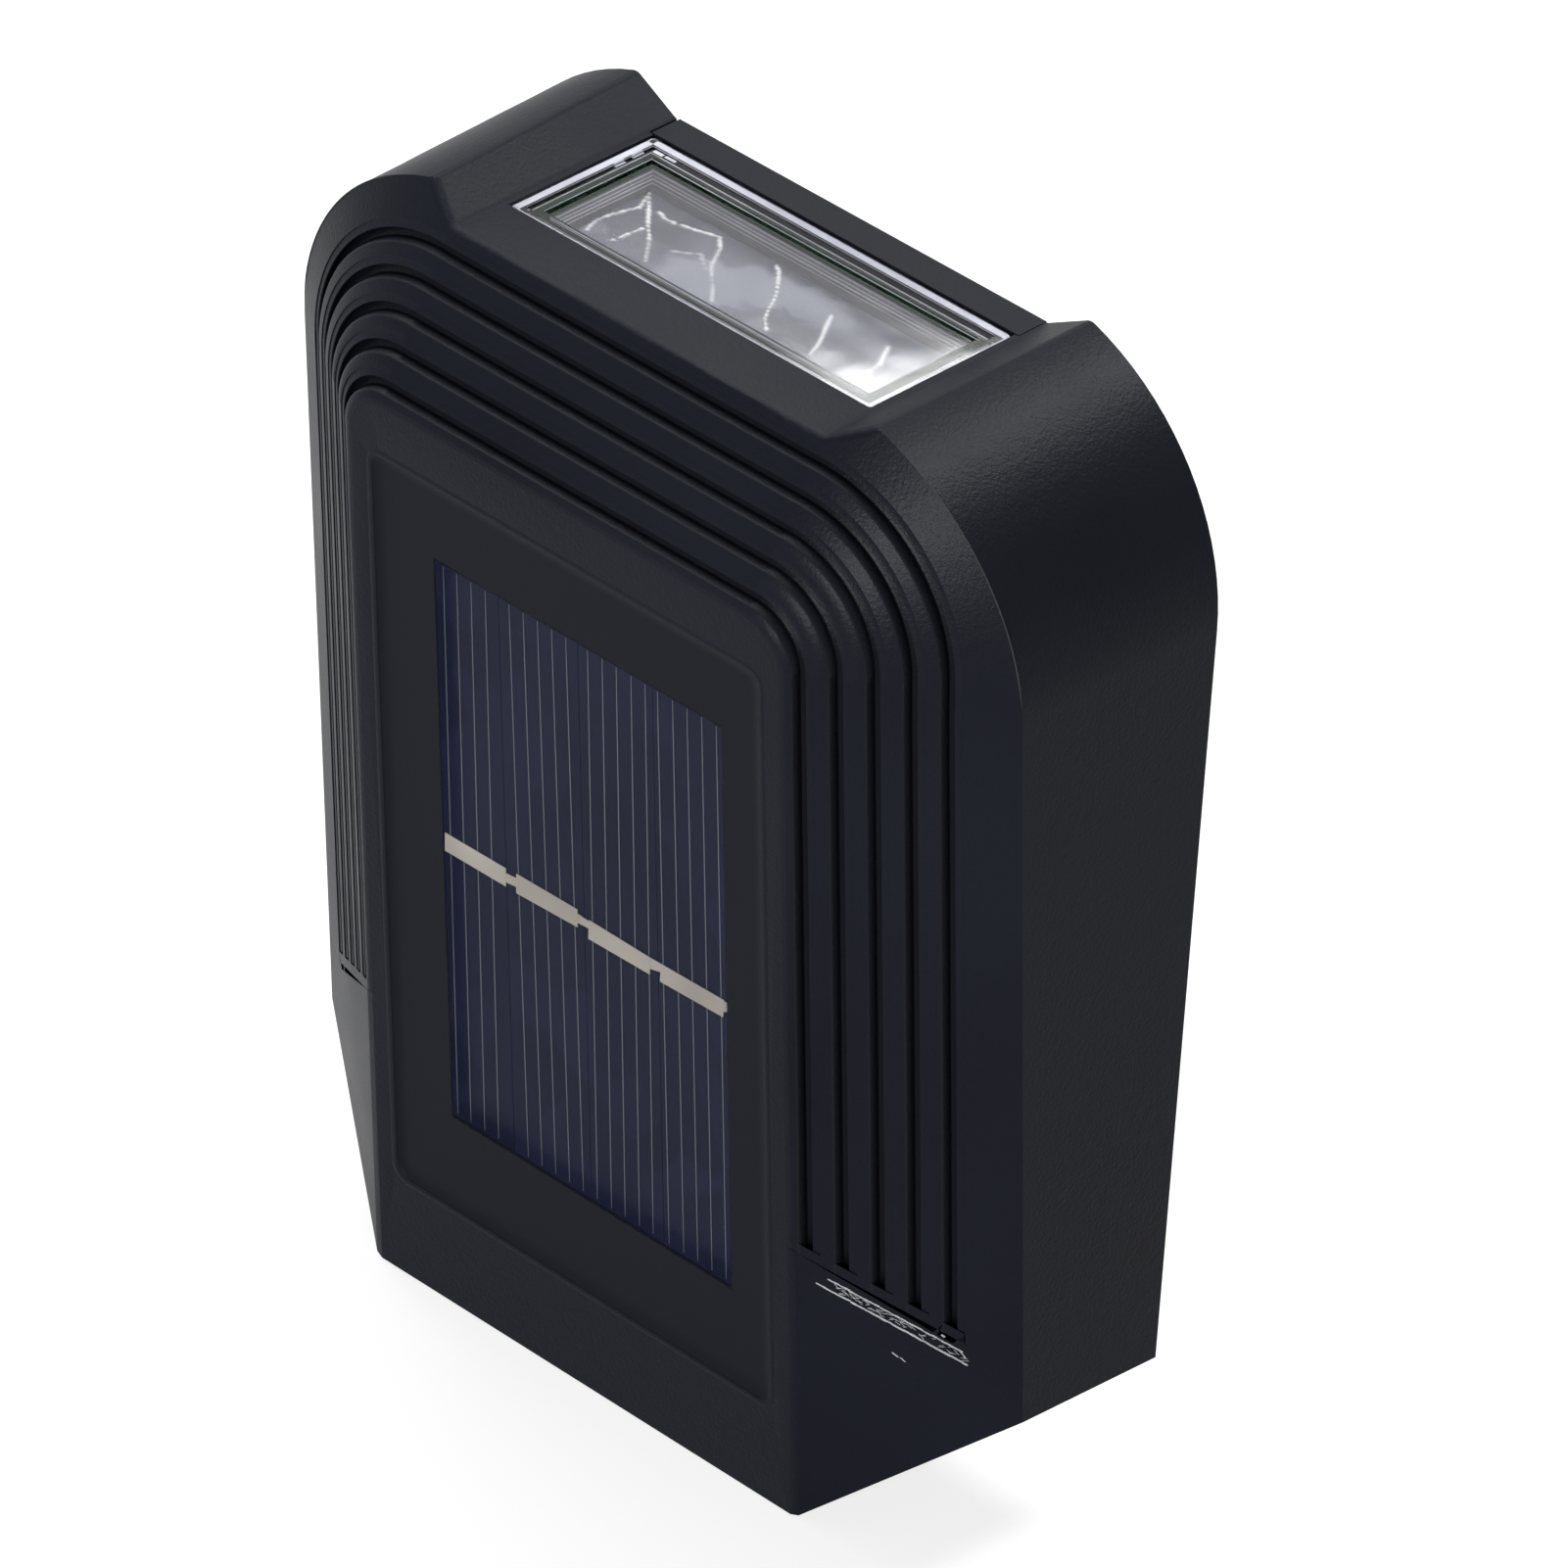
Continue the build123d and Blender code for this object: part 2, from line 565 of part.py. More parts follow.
def strip_edges(i):
    width = (2 * CELLS_HALF_WIDTH - (CELL_STRIPS - 1) * CELL_GAP) / CELL_STRIPS
    left = CELL_SHIFT - CELLS_HALF_WIDTH + i * (width + CELL_GAP)
    return left, left + width


def cell_strip(i):
    left, right = strip_edges(i)
    front = PANEL_SINK + RESIN
    return on_face(block(left, right, front, front + CELL, CELLS_BOTTOM, CELLS_TOP))


def cell_ribbon(i):
    left, right = strip_edges(i)
    front = PANEL_SINK + RESIN - RIBBON
    middle = RIBBON_UP + RIBBON_SHIFTS[i]
    return on_face(block(left, right, front, front + RIBBON,
                         middle - RIBBON_WIDTH / 2, middle + RIBBON_WIDTH / 2))


def solar_cells():
    return Compound(children=[cell_strip(i) for i in range(CELL_STRIPS)])


def cell_ribbons():
    return Compound(children=[cell_ribbon(i) for i in range(CELL_STRIPS)])


def solar_board():
    board = panel_layer(PANEL_SINK + RESIN, CELL + CELL_BOARD)
    front = PANEL_SINK + RESIN
    left, _ = strip_edges(0)
    _, right = strip_edges(CELL_STRIPS - 1)
    bed = block(left, right, front - 1, front + CELL, CELLS_BOTTOM, CELLS_TOP)
    return board - on_face(bed)


def panel_resin():
    resin = panel_layer(PANEL_SINK, RESIN)
    for i in range(CELL_STRIPS):
        resin -= cell_ribbon(i)
    return resin


def panel_tape():
    """Foam tape frame between the panel and its pocket floor."""
    outer = extrude(panel_outline(TAPE_INSET, PANEL_BACK), amount=-PANEL_TAPE)
    inner = extrude(panel_outline(TAPE_INSET + TAPE_WIDTH, PANEL_BACK - 1), amount=-(PANEL_TAPE + 2))
    return on_face(outer - inner)


def keyhole(x, y_front, y_back, grow=0.0, narrow=False):
    """Keyhole-shaped prism: round entry below, slot above."""
    slot_r = (KEYHOLE_SLOT_R if narrow else KEYHOLE_HEAD_R) + grow
    entry = rod(KEYHOLE_HEAD_R + grow, y_front, y_back, x, KEYHOLE_UP)
    top = rod(slot_r, y_front, y_back, x, KEYHOLE_UP + KEYHOLE_RISE)
    neck = block(x - slot_r, x + slot_r, y_front, y_back, KEYHOLE_UP, KEYHOLE_UP + KEYHOLE_RISE)
    return entry + top + neck


def board_post_spots():
    return [(side * POST_SPREAD, BUTTON_UP) for side in (1, -1)]


def back_cover():
    plate = extrude(rear_outline(RIM_WALL + COVER_CLEARANCE, -COVER), amount=-COVER)
    plate -= recess_cutter(RIM_WALL + COVER_CLEARANCE)
    bar_half = RECESS_HALF_WIDTH - COVER_CLEARANCE
    cover = plate + block(-bar_half, bar_half, -COVER_BAR_DEPTH, 0,
                          RECESS_FLOOR_UP - COVER_BAR_HEIGHT, RECESS_FLOOR_UP)
    pocket_back = -KEYHOLE_LIP - KEYHOLE_ROOM
    for side in (1, -1):
        cover += keyhole(side * KEYHOLE_SPREAD, pocket_back - KEYHOLE_WALL, ROOT - COVER, KEYHOLE_WALL)
    for x, z in board_post_spots():
        cover += rod(POST_R, BOARD_Y, ROOT - COVER, x, z)
    for side in (1, -1):
        cover -= keyhole(side * KEYHOLE_SPREAD, pocket_back, -KEYHOLE_LIP)
        cover -= keyhole(side * KEYHOLE_SPREAD, -KEYHOLE_LIP - 0.01, 1, narrow=True)
    cover -= rod(BUTTON_DISH_R, -BUTTON_DISH, 1, 0, BUTTON_UP)
    cover -= rod(BUTTON_R + BUTTON_RUNNING_GAP, -COVER - 1, 1, 0, BUTTON_UP)
    for x, z in screw_spots():
        cover -= rod(SCREW_R + SCREW_CLEARANCE, -COVER - 1, 1, x, z)
        cover -= rod(SCREW_HEAD_R + SCREW_CLEARANCE, -SCREW_HEAD_SINK - SCREW_HEAD, 1, x, z)
    for x, z in board_post_spots():
        cover -= rod(BOARD_SCREW_R - SCREW_BITE, BOARD_Y - 1, BOARD_Y + BOARD_SCREW_LENGTH, x, z)
    return cover


def cover_seal():
    """Seal strip on the housing ledge, left open where the cover's bar meets the lens."""
    outer = extrude(rear_outline(RIM_WALL + COVER_CLEARANCE, -LEDGE_DEPTH), amount=-SEAL)
    inner = extrude(rear_outline(RIM_WALL + COVER_CLEARANCE + SEAL_WIDTH, -LEDGE_DEPTH - 1),
                    amount=-SEAL - 2)
    return outer - inner - recess_cutter(RIM_WALL + COVER_CLEARANCE)


def drive_cross(y, x, z):
    bar = block(x - CROSS_LENGTH / 2, x + CROSS_LENGTH / 2, y - CROSS_DEPTH, y + 1,
                z - CROSS_WIDTH / 2, z + CROSS_WIDTH / 2)
    post = block(x - CROSS_WIDTH / 2, x + CROSS_WIDTH / 2, y - CROSS_DEPTH, y + 1,
                 z - CROSS_LENGTH / 2, z + CROSS_LENGTH / 2)
    return bar + post


def cover_screws():
    screws = []
    for x, z in screw_spots():
        top = -SCREW_HEAD_SINK
        head = rod(SCREW_HEAD_R, top - SCREW_HEAD, top, x, z)
        head = fillet(head.edges().group_by(Axis.Y)[-1], SCREW_HEAD_ROUND)
        shank = rod(SCREW_R, top - SCREW_LENGTH, top - SCREW_HEAD, x, z)
        screws.append(head + shank - drive_cross(top, x, z))
    return Compound(children=screws)


def power_button():
    cap = rod(BUTTON_R, BUTTON_FLANGE_Y, -BUTTON_SINK, 0, BUTTON_UP)
    cap = fillet(cap.edges().group_by(Axis.Y)[-1], BUTTON_FACE_ROUND)
    cap += rod(BUTTON_FLANGE_R, PLUNGER_ROOT_Y, BUTTON_FLANGE_Y, 0, BUTTON_UP)
    return cap - rod(PLUNGER_R, PLUNGER_ROOT_Y - 1, PLUNGER_ROOT_Y + PLUNGER_SOCKET, 0, BUTTON_UP)


def switch_plunger():
    return rod(PLUNGER_R, SWITCH_TOP_Y - PLUNGER_IN, PLUNGER_ROOT_Y + PLUNGER_SOCKET, 0, BUTTON_UP)


def switch_leg_spots():
    leg = SWITCH_SIZE / 2 - SWITCH_LEG
    return [(sx * leg, BUTTON_UP + sz * leg) for sx in (1, -1) for sz in (1, -1)]


def switch_body():
    half = SWITCH_SIZE / 2
    body = block(-half, half, BOARD_Y, SWITCH_TOP_Y, BUTTON_UP - half, BUTTON_UP + half)
    well_end = SWITCH_TOP_Y - PLUNGER_IN - BUTTON_TRAVEL - PLUNGER_WELL_SPARE
    body -= rod(PLUNGER_R + BUTTON_RUNNING_GAP, well_end, 0, 0, BUTTON_UP)
    for x, z in switch_leg_spots():
        body += rod(SWITCH_LEG / 2, BOARD_Y - BOARD - SWITCH_LEG_OUT, BOARD_Y + SWITCH_LEG_ROOT, x, z)
    return body


def button_seal():
    outer = rod(BUTTON_FLANGE_R + BUTTON_SEAL_LAP, -COVER - BUTTON_SEAL, -COVER, 0, BUTTON_UP)
    return outer - rod(BUTTON_R + BUTTON_SEAL_BORE_GAP, -COVER - BUTTON_SEAL - 1, 0, 0, BUTTON_UP)


def main_board():
    half = BOARD_HEIGHT / 2
    board = block(-BOARD_HALF_WIDTH, BOARD_HALF_WIDTH, BOARD_Y - BOARD, BOARD_Y,
                  BUTTON_UP - half, BUTTON_UP + half)
    board = fillet(board.edges().filter_by(Axis.Y), BOARD_CORNER)
    holes = [(BOARD_SCREW_R + SCREW_CLEARANCE, spot) for spot in board_post_spots()]
    holes += [(SWITCH_LEG / 2 + SWITCH_LEG_CLEARANCE, spot) for spot in switch_leg_spots()]
    for radius, (x, z) in holes:
        board -= rod(radius, BOARD_Y - BOARD - 1, BOARD_Y + 1, x, z)
    return board


def board_screws():
    screws = []
    for x, z in board_post_spots():
        under = BOARD_Y - BOARD
        head = rod(BOARD_SCREW_HEAD_R, under - BOARD_SCREW_HEAD, under, x, z)
        head = fillet(head.edges().group_by(Axis.Y)[0], BOARD_SCREW_ROUND)
        screws.append(head + rod(BOARD_SCREW_R, under, under + BOARD_SCREW_LENGTH, x, z))
    return Compound(children=screws)


def control_chip():
    width, height, thick = CHIP
    leg_width, leg_thick, leg_reach = CHIP_LEG
    x, dz = CHIP_SPOT
    z = BUTTON_UP + dz
    front = BOARD_Y - BOARD
    body = block(x - width / 2, x + width / 2, front - thick, front, z - height / 2, z + height / 2)
    span = height / 2 + leg_reach
    for i in range(CHIP_LEGS):
        leg_x = x + (i - (CHIP_LEGS - 1) / 2) * CHIP_LEG_PITCH
        body += block(leg_x - leg_width / 2, leg_x + leg_width / 2, front - leg_thick, front,
                      z - span, z + span)
    return body


def power_inductor():
    x, dz = INDUCTOR_SPOT
    front = BOARD_Y - BOARD
    drum = rod(INDUCTOR_R, front - INDUCTOR_HEIGHT, front, x, BUTTON_UP + dz)
    waist = rod(INDUCTOR_R + 1, front - INDUCTOR_HEIGHT + INDUCTOR_FLANGE, front - INDUCTOR_FLANGE,
                x, BUTTON_UP + dz)
    core = rod(INDUCTOR_R - INDUCTOR_WAIST, front - INDUCTOR_HEIGHT, front, x, BUTTON_UP + dz)
    return drum - (waist - core)


def board_capacitors():
    front = BOARD_Y - BOARD
    cans = []
    for x, dz in CAPACITOR_SPOTS:
        can = rod(CAPACITOR_R, front - CAPACITOR_HEIGHT, front, x, BUTTON_UP + dz)
        cans.append(fillet(can.edges().group_by(Axis.Y)[0], CAPACITOR_ROUND))
    return Compound(children=cans)


def cell_bar(radius, x0, x1):
    return Pos((x0 + x1) / 2, BATTERY_Y, BATTERY_UP) * Rot(0, 90, 0) * Cylinder(radius, x1 - x0)


def battery_cell():
    half = CELL_LENGTH / 2
    can = cell_bar(CELL_R, -half, half)
    can = fillet(can.edges().filter_by(GeomType.CIRCLE), CELL_END_ROUND)
    return can + cell_bar(CELL_TIP_R, half, half + CELL_TIP)


def battery_holder():
    x0 = HOLDER_LEFT
    x1 = HOLDER_RIGHT
    back = -COVER
    base = back - HOLDER_BASE
    z0 = BATTERY_UP - HOLDER_HALF_HEIGHT
    z1 = BATTERY_UP + HOLDER_HALF_HEIGHT
    tray = block(x0 - HOLDER_WALL, x1 + HOLDER_WALL, base, back, z0, z1)
    end_front = BATTERY_Y - HOLDER_END_REACH
    tray += block(x0 - HOLDER_WALL, x0, end_front, back, z0, z1)
    tray += block(x1, x1 + HOLDER_WALL, end_front, back, z0, z1)
    for low, high in ((z0, z0 + HOLDER_WALL), (z1 - HOLDER_WALL, z1)):
        tray += block(x0 - HOLDER_WALL, x1 + HOLDER_WALL, base - HOLDER_RAIL, back, low, high)
    return tray - cell_bar(CELL_R + HOLDER_CRADLE, -CELL_LENGTH / 2, CELL_LENGTH / 2)


def contact_sheet(x0, x1):
    half = CONTACT_SIZE / 2
    return block(x0, x1, BATTERY_Y - half, BATTERY_Y + half, BATTERY_UP - half, BATTERY_UP + half)


def spring_contact():
    """Negative contact: sheet with a coil spring that presses on the cell."""
    x0 = HOLDER_LEFT
    pitch = (SPRING_HEIGHT - 2 * SPRING_WIRE_R) / SPRING_TURNS
    path = Helix(pitch, pitch * SPRING_TURNS, SPRING_R)
    start = path.position_at(0)
    section = Plane(origin=start, z_dir=path.tangent_at(0)) * Circle(SPRING_WIRE_R)
    coil = sweep(section, path=path, is_frenet=True)
    coil = Pos(x0 + CONTACT + SPRING_WIRE_R * 0.6, BATTERY_Y, BATTERY_UP) * Rot(0, 90, 0) * coil
    return contact_sheet(x0, x0 + CONTACT) + coil


def plate_contact():
    return contact_sheet(HOLDER_RIGHT - CONTACT, HOLDER_RIGHT)


def wire(*points):
    """Insulated lead: straight runs joined by arcs."""
    path = FilletPolyline(*points, radius=WIRE_BEND)
    section = Plane(origin=path.position_at(0), z_dir=path.tangent_at(0)) * Circle(WIRE_R)
    return sweep(section, path=path)


def panel_wires():
    z = face_z(WIRE_PASSAGE_UP, PANEL_BACK)
    y = face_y(WIRE_PASSAGE_UP, PANEL_BACK) + PANEL_WIRE_GAP
    top = BUTTON_UP - BOARD_HEIGHT / 2 + WIRE_EDGE_IN
    run = y + PANEL_WIRE_RUN
    leads = []
    for side in (1, -1):
        x = side * PANEL_WIRE_SPREAD
        leads.append(wire((x, y, z), (x, run, z), (x, run + PANEL_WIRE_SLANT, top),
                          (x, BOARD_Y - BOARD, top)))
    return Compound(children=leads)


def led_wires():
    top = LIGHT_BOARD_UP
    low = BUTTON_UP + BOARD_HEIGHT / 2 - WIRE_EDGE_IN
    front = BOARD_Y - BOARD
    leads = []
    for side in (1, -1):
        x = side * LED_WIRE_SPREAD
        leads.append(wire((x, LENS_CENTRE_Y, top), (x, LENS_CENTRE_Y, top - LED_WIRE_DROP),
                          (x, front - WIRE_LANDING, low), (x, front, low)))
    return Compound(children=leads)


def battery_wires():
    front = BOARD_Y - BOARD
    low = BUTTON_UP - BOARD_HEIGHT / 2 + WIRE_EDGE_IN
    z = BATTERY_UP + CONTACT_SIZE / 2 - BATTERY_WIRE_TOP
    leads = []
    for side, end in ((-1, HOLDER_LEFT - HOLDER_WALL), (1, HOLDER_RIGHT + HOLDER_WALL)):
        out = end + side * BATTERY_WIRE_OUT
        inner = side * (BOARD_HALF_WIDTH - BATTERY_WIRE_IN)
        leads.append(wire((end, BATTERY_Y, z), (out, BATTERY_Y, z), (out, BATTERY_Y, low),
                          (inner, front - WIRE_LANDING, low), (inner, front, low)))
    return Compound(children=leads)


PIECES = {
    "front_housing": front_housing,
    "back_cover": back_cover,
    "cover_seal": cover_seal,
    "cover_screws": cover_screws,
    "light_lens": light_lens,
    "lens_seal": lens_seal,
    "reflector": reflector,
    "light_board": light_board,
    "light_chips": leds,
    "solar_board": solar_board,
    "solar_cells": solar_cells,
    "cell_ribbons": cell_ribbons,
    "panel_resin": panel_resin,
    "panel_tape": panel_tape,
    "power_button": power_button,
    "button_seal": button_seal,
    "switch_plunger": switch_plunger,
    "switch_body": switch_body,
    "main_board": main_board,
    "board_screws": board_screws,
    "control_chip": control_chip,
    "power_inductor": power_inductor,
    "board_capacitors": board_capacitors,
    "battery_cell": battery_cell,
    "battery_holder": battery_holder,
    "spring_contact": spring_contact,
    "plate_contact": plate_contact,
    "panel_wires": panel_wires,
    "led_wires": led_wires,
    "battery_wires": battery_wires,
}

for name, make in PIECES.items():
    export_step(make(), f"parts/{name}.step")
    print(name)
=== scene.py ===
import json
import random
from math import atan2, cos, hypot, pi, radians, sin, sqrt

import bpy
from mathutils import Matrix, Vector

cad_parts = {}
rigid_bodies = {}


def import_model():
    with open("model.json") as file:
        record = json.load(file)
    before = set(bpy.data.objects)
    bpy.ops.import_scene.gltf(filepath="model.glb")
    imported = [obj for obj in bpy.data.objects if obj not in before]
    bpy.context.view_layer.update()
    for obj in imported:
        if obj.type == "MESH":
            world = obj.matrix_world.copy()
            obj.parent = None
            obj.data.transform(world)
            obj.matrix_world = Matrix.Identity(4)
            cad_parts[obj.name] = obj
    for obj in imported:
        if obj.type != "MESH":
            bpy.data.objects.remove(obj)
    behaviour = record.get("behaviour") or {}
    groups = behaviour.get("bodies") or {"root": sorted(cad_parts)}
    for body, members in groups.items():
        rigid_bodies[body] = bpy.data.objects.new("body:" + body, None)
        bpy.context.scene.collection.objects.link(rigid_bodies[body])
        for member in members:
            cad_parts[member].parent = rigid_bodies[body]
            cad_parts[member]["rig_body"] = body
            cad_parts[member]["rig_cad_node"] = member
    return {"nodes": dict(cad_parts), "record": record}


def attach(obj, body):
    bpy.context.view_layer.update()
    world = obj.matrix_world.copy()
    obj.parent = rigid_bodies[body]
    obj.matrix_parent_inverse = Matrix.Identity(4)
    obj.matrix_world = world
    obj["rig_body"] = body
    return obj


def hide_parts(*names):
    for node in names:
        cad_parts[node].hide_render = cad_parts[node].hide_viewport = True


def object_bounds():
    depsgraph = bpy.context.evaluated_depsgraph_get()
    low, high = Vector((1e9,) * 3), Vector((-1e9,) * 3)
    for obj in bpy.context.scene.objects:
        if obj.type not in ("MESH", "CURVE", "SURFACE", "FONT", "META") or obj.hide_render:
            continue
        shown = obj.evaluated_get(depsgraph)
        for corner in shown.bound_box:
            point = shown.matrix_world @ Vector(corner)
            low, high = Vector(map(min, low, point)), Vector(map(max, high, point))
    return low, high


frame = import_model()
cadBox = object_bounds()
mm = 0.001
print("frame loaded")

faceTilt = radians(5.3)  # the face leans back from the wall
faceFrame = Matrix.Translation(Vector((0, -24.0 * mm, -58.0 * mm))) @ Matrix.Rotation(faceTilt, 4, "X")


def onFace(x, depth, up):  # a point across, behind and up the face, in mm
    return faceFrame @ Vector((x * mm, depth * mm, up * mm))


def toFace(point):  # the same numbers for a point of the shared frame
    return (faceFrame.inverted() @ point) / mm


def deselectAll():
    if bpy.context.object and bpy.context.object.mode != "OBJECT":
        bpy.ops.object.mode_set(mode="OBJECT")
    bpy.ops.object.select_all(action="DESELECT")


def pick(obj):  # selects one piece and nothing else
    deselectAll()
    obj.select_set(True)
    bpy.context.view_layer.objects.active = obj


def editAll():  # edit mode, with everything selected
    bpy.ops.object.mode_set(mode="EDIT")
    bpy.ops.mesh.select_all(action="SELECT")


def applyPlace(obj):
    pick(obj)
    bpy.ops.object.transform_apply(location=True, rotation=True, scale=True)


def joinAll(parts, name):
    deselectAll()
    for part in parts:
        part.select_set(True)
    bpy.context.view_layer.objects.active = parts[0]
    if len(parts) > 1:
        bpy.ops.object.join()
    joined = bpy.context.object
    joined.name = name
    joined.data.name = name
    return joined


def mergedCopy(node, name):  # the CAD node's own shape with its points merged
    source = frame["nodes"][node]
    pick(source)
    bpy.ops.object.duplicate()
    copy = bpy.context.object
    bpy.ops.object.parent_clear(type="CLEAR_KEEP_TRANSFORM")
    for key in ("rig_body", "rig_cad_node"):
        del copy[key]
    copy.name = name
    copy.data.name = name
    editAll()
    bpy.ops.mesh.remove_doubles(threshold=0.002 * mm)
    bpy.ops.object.mode_set(mode="OBJECT")
    return copy


def shadeSoftly(obj, angle):  # smooth where it bends less than the angle, with even flats
    pick(obj)
    bpy.ops.object.shade_smooth_by_angle(angle=radians(angle))
    bpy.ops.object.modifier_add(type="WEIGHTED_NORMAL")
    obj.modifiers[-1].keep_sharp = True
    obj.modifiers[-1].weight = 80
    bpy.ops.object.modifier_apply(modifier=obj.modifiers[-1].name)


def pointGrid(name, columns, rows, place):  # a grid whose points are then put in place
    deselectAll()
    bpy.ops.mesh.primitive_grid_add(x_subdivisions=columns - 1, y_subdivisions=rows - 1, size=1)
    grid = bpy.context.object
    grid.name = name
    grid.data.name = name
    for i, vertex in enumerate(grid.data.vertices):
        vertex.co = place(i % columns, i // columns)
    return grid


def paintPoints(obj, name, values):
    layer = obj.data.attributes.new(name, "FLOAT", "POINT")
    layer.data.foreach_set("value", values)


def startCube():  # a unit cube to be shaped
    deselectAll()
    bpy.ops.mesh.primitive_cube_add(size=1)
    return bpy.context.object


def softenEdges(width):  # a small round on every edge of the piece in hand
    editAll()
    bpy.ops.mesh.bevel(offset=width, segments=2)
    bpy.ops.object.mode_set(mode="OBJECT")


def finishPiece(obj, material, stands=()):  # what each new piece needs: its material, its body, and the CAD nodes it replaces hidden
    obj.data.materials.clear()
    obj.data.materials.append(material)
    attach(obj, "housing")
    if stands:
        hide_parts(*stands)


def newGroup(name, inputs, outputs):
    group = bpy.data.node_groups.new(name, "ShaderNodeTree")
    for socketName, value in inputs:
        socket = group.interface.new_socket(socketName, in_out="INPUT", socket_type="NodeSocketFloat")
        socket.default_value = value
    for socketName in outputs:
        group.interface.new_socket(socketName, in_out="OUTPUT", socket_type="NodeSocketFloat")
    return group, group.nodes.new("NodeGroupInput"), group.nodes.new("NodeGroupOutput")


def mathNode(tree, operation, a, b=None):
    node = tree.nodes.new("ShaderNodeMath")
    node.operation = operation
    for socket, value in zip(node.inputs, (a, b)):
        if value is None:
            continue
        if isinstance(value, (int, float)):
            socket.default_value = value
        else:
            tree.links.new(value, socket)
    return node.outputs[0]


def objectCoords(tree):
    return tree.nodes.new("ShaderNodeTexCoord").outputs["Object"]


def noiseNode(tree, vector, scale, detail=2.0, roughness=0.5):
    node = tree.nodes.new("ShaderNodeTexNoise")
    tree.links.new(vector, node.inputs["Vector"])
    if isinstance(scale, (int, float)):
        node.inputs["Scale"].default_value = scale
    else:
        tree.links.new(scale, node.inputs["Scale"])
    node.inputs["Detail"].default_value = detail
    node.inputs["Roughness"].default_value = roughness
    return node.outputs["Fac"]


grainSizes = {"fineDetail": 3.0, "fineRoughness": 0.65, "swellShare": 0.22, "smudgeScale": 38.0}


def buildGrain():  # moulded grain: fine pebbles, with slower swells and a slow smudge
    group, groupIn, groupOut = newGroup("mouldedGrain", [("Scale", 3500.0), ("Swell", 0.3)],
                                        ["Height", "Smudge"])
    coords = objectCoords(group)
    fine = noiseNode(group, coords, groupIn.outputs["Scale"], grainSizes["fineDetail"],
                     grainSizes["fineRoughness"])
    swellScale = mathNode(group, "MULTIPLY", groupIn.outputs["Scale"], grainSizes["swellShare"])
    swell = noiseNode(group, coords, swellScale, 1.0)
    height = mathNode(group, "ADD", fine, mathNode(group, "MULTIPLY", swell, groupIn.outputs["Swell"]))
    group.links.new(height, groupOut.inputs["Height"])
    smudge = noiseNode(group, coords, grainSizes["smudgeScale"], grainSizes["fineDetail"])
    group.links.new(smudge, groupOut.inputs["Smudge"])
    return group


def buildDust():  # sparse pale specks: a few cells of a fine pattern, each with a small spot
    group, groupIn, groupOut = newGroup("dustSpecks", [("Scale", 160.0), ("Share", 0.02), ("Size", 0.05)],
                                        ["Mask"])
    cells = group.nodes.new("ShaderNodeTexVoronoi")
    group.links.new(objectCoords(group), cells.inputs["Vector"])
    group.links.new(groupIn.outputs["Scale"], cells.inputs["Scale"])
    spot = mathNode(group, "LESS_THAN", cells.outputs["Distance"], groupIn.outputs["Size"])
    split = group.nodes.new("ShaderNodeSeparateColor")
    group.links.new(cells.outputs["Color"], split.inputs[0])
    chosen = mathNode(group, "LESS_THAN", split.outputs[0], groupIn.outputs["Share"])
    group.links.new(mathNode(group, "MULTIPLY", spot, chosen), groupOut.inputs["Mask"])
    return group


grainGroup = buildGrain()
dustGroup = buildDust()
print("node groups built")


def newMaterial(name):
    material = bpy.data.materials.new(name)
    material.use_nodes = True
    tree = material.node_tree
    return material, tree, tree.nodes["Principled BSDF"]


def useGroup(tree, group, **values):
    node = tree.nodes.new("ShaderNodeGroup")
    node.node_tree = group
    for key, value in values.items():
        node.inputs[key].default_value = value
    return node


def mixColour(tree, factor, a, b):
    node = tree.nodes.new("ShaderNodeMix")
    node.data_type = "RGBA"
    if isinstance(factor, (int, float)):
        node.inputs[0].default_value = factor
    else:
        tree.links.new(factor, node.inputs[0])
    for socket, value in ((node.inputs[6], a), (node.inputs[7], b)):
        if isinstance(value, tuple):
            socket.default_value = (*value, 1.0)
        else:
            tree.links.new(value, socket)
    return node.outputs[2]


def mapTo(tree, value, low, high, fromLow=0.3, fromHigh=0.7):
    node = tree.nodes.new("ShaderNodeMapRange")
    tree.links.new(value, node.inputs["Value"])
    node.inputs["From Min"].default_value = fromLow
    node.inputs["From Max"].default_value = fromHigh
    node.inputs["To Min"].default_value = low
    node.inputs["To Max"].default_value = high
    return node.outputs["Result"]


def bumpFrom(tree, height, strength, distance):
    bump = tree.nodes.new("ShaderNodeBump")
    bump.inputs["Strength"].default_value = strength
    bump.inputs["Distance"].default_value = distance
    tree.links.new(height, bump.inputs["Height"])
    return bump.outputs["Normal"]


def useGrain(tree, look):
    return useGroup(tree, grainGroup, Scale=look["grainScale"], Swell=look["swell"])


def grainBump(tree, grain, shader, look):
    normal = bumpFrom(tree, grain.outputs["Height"], look["grainStrength"], look["grainDepth"])
    tree.links.new(normal, shader.inputs["Normal"])


def attributeNode(tree, name):
    node = tree.nodes.new("ShaderNodeAttribute")
    node.attribute_name = name
    return node.outputs["Fac"]


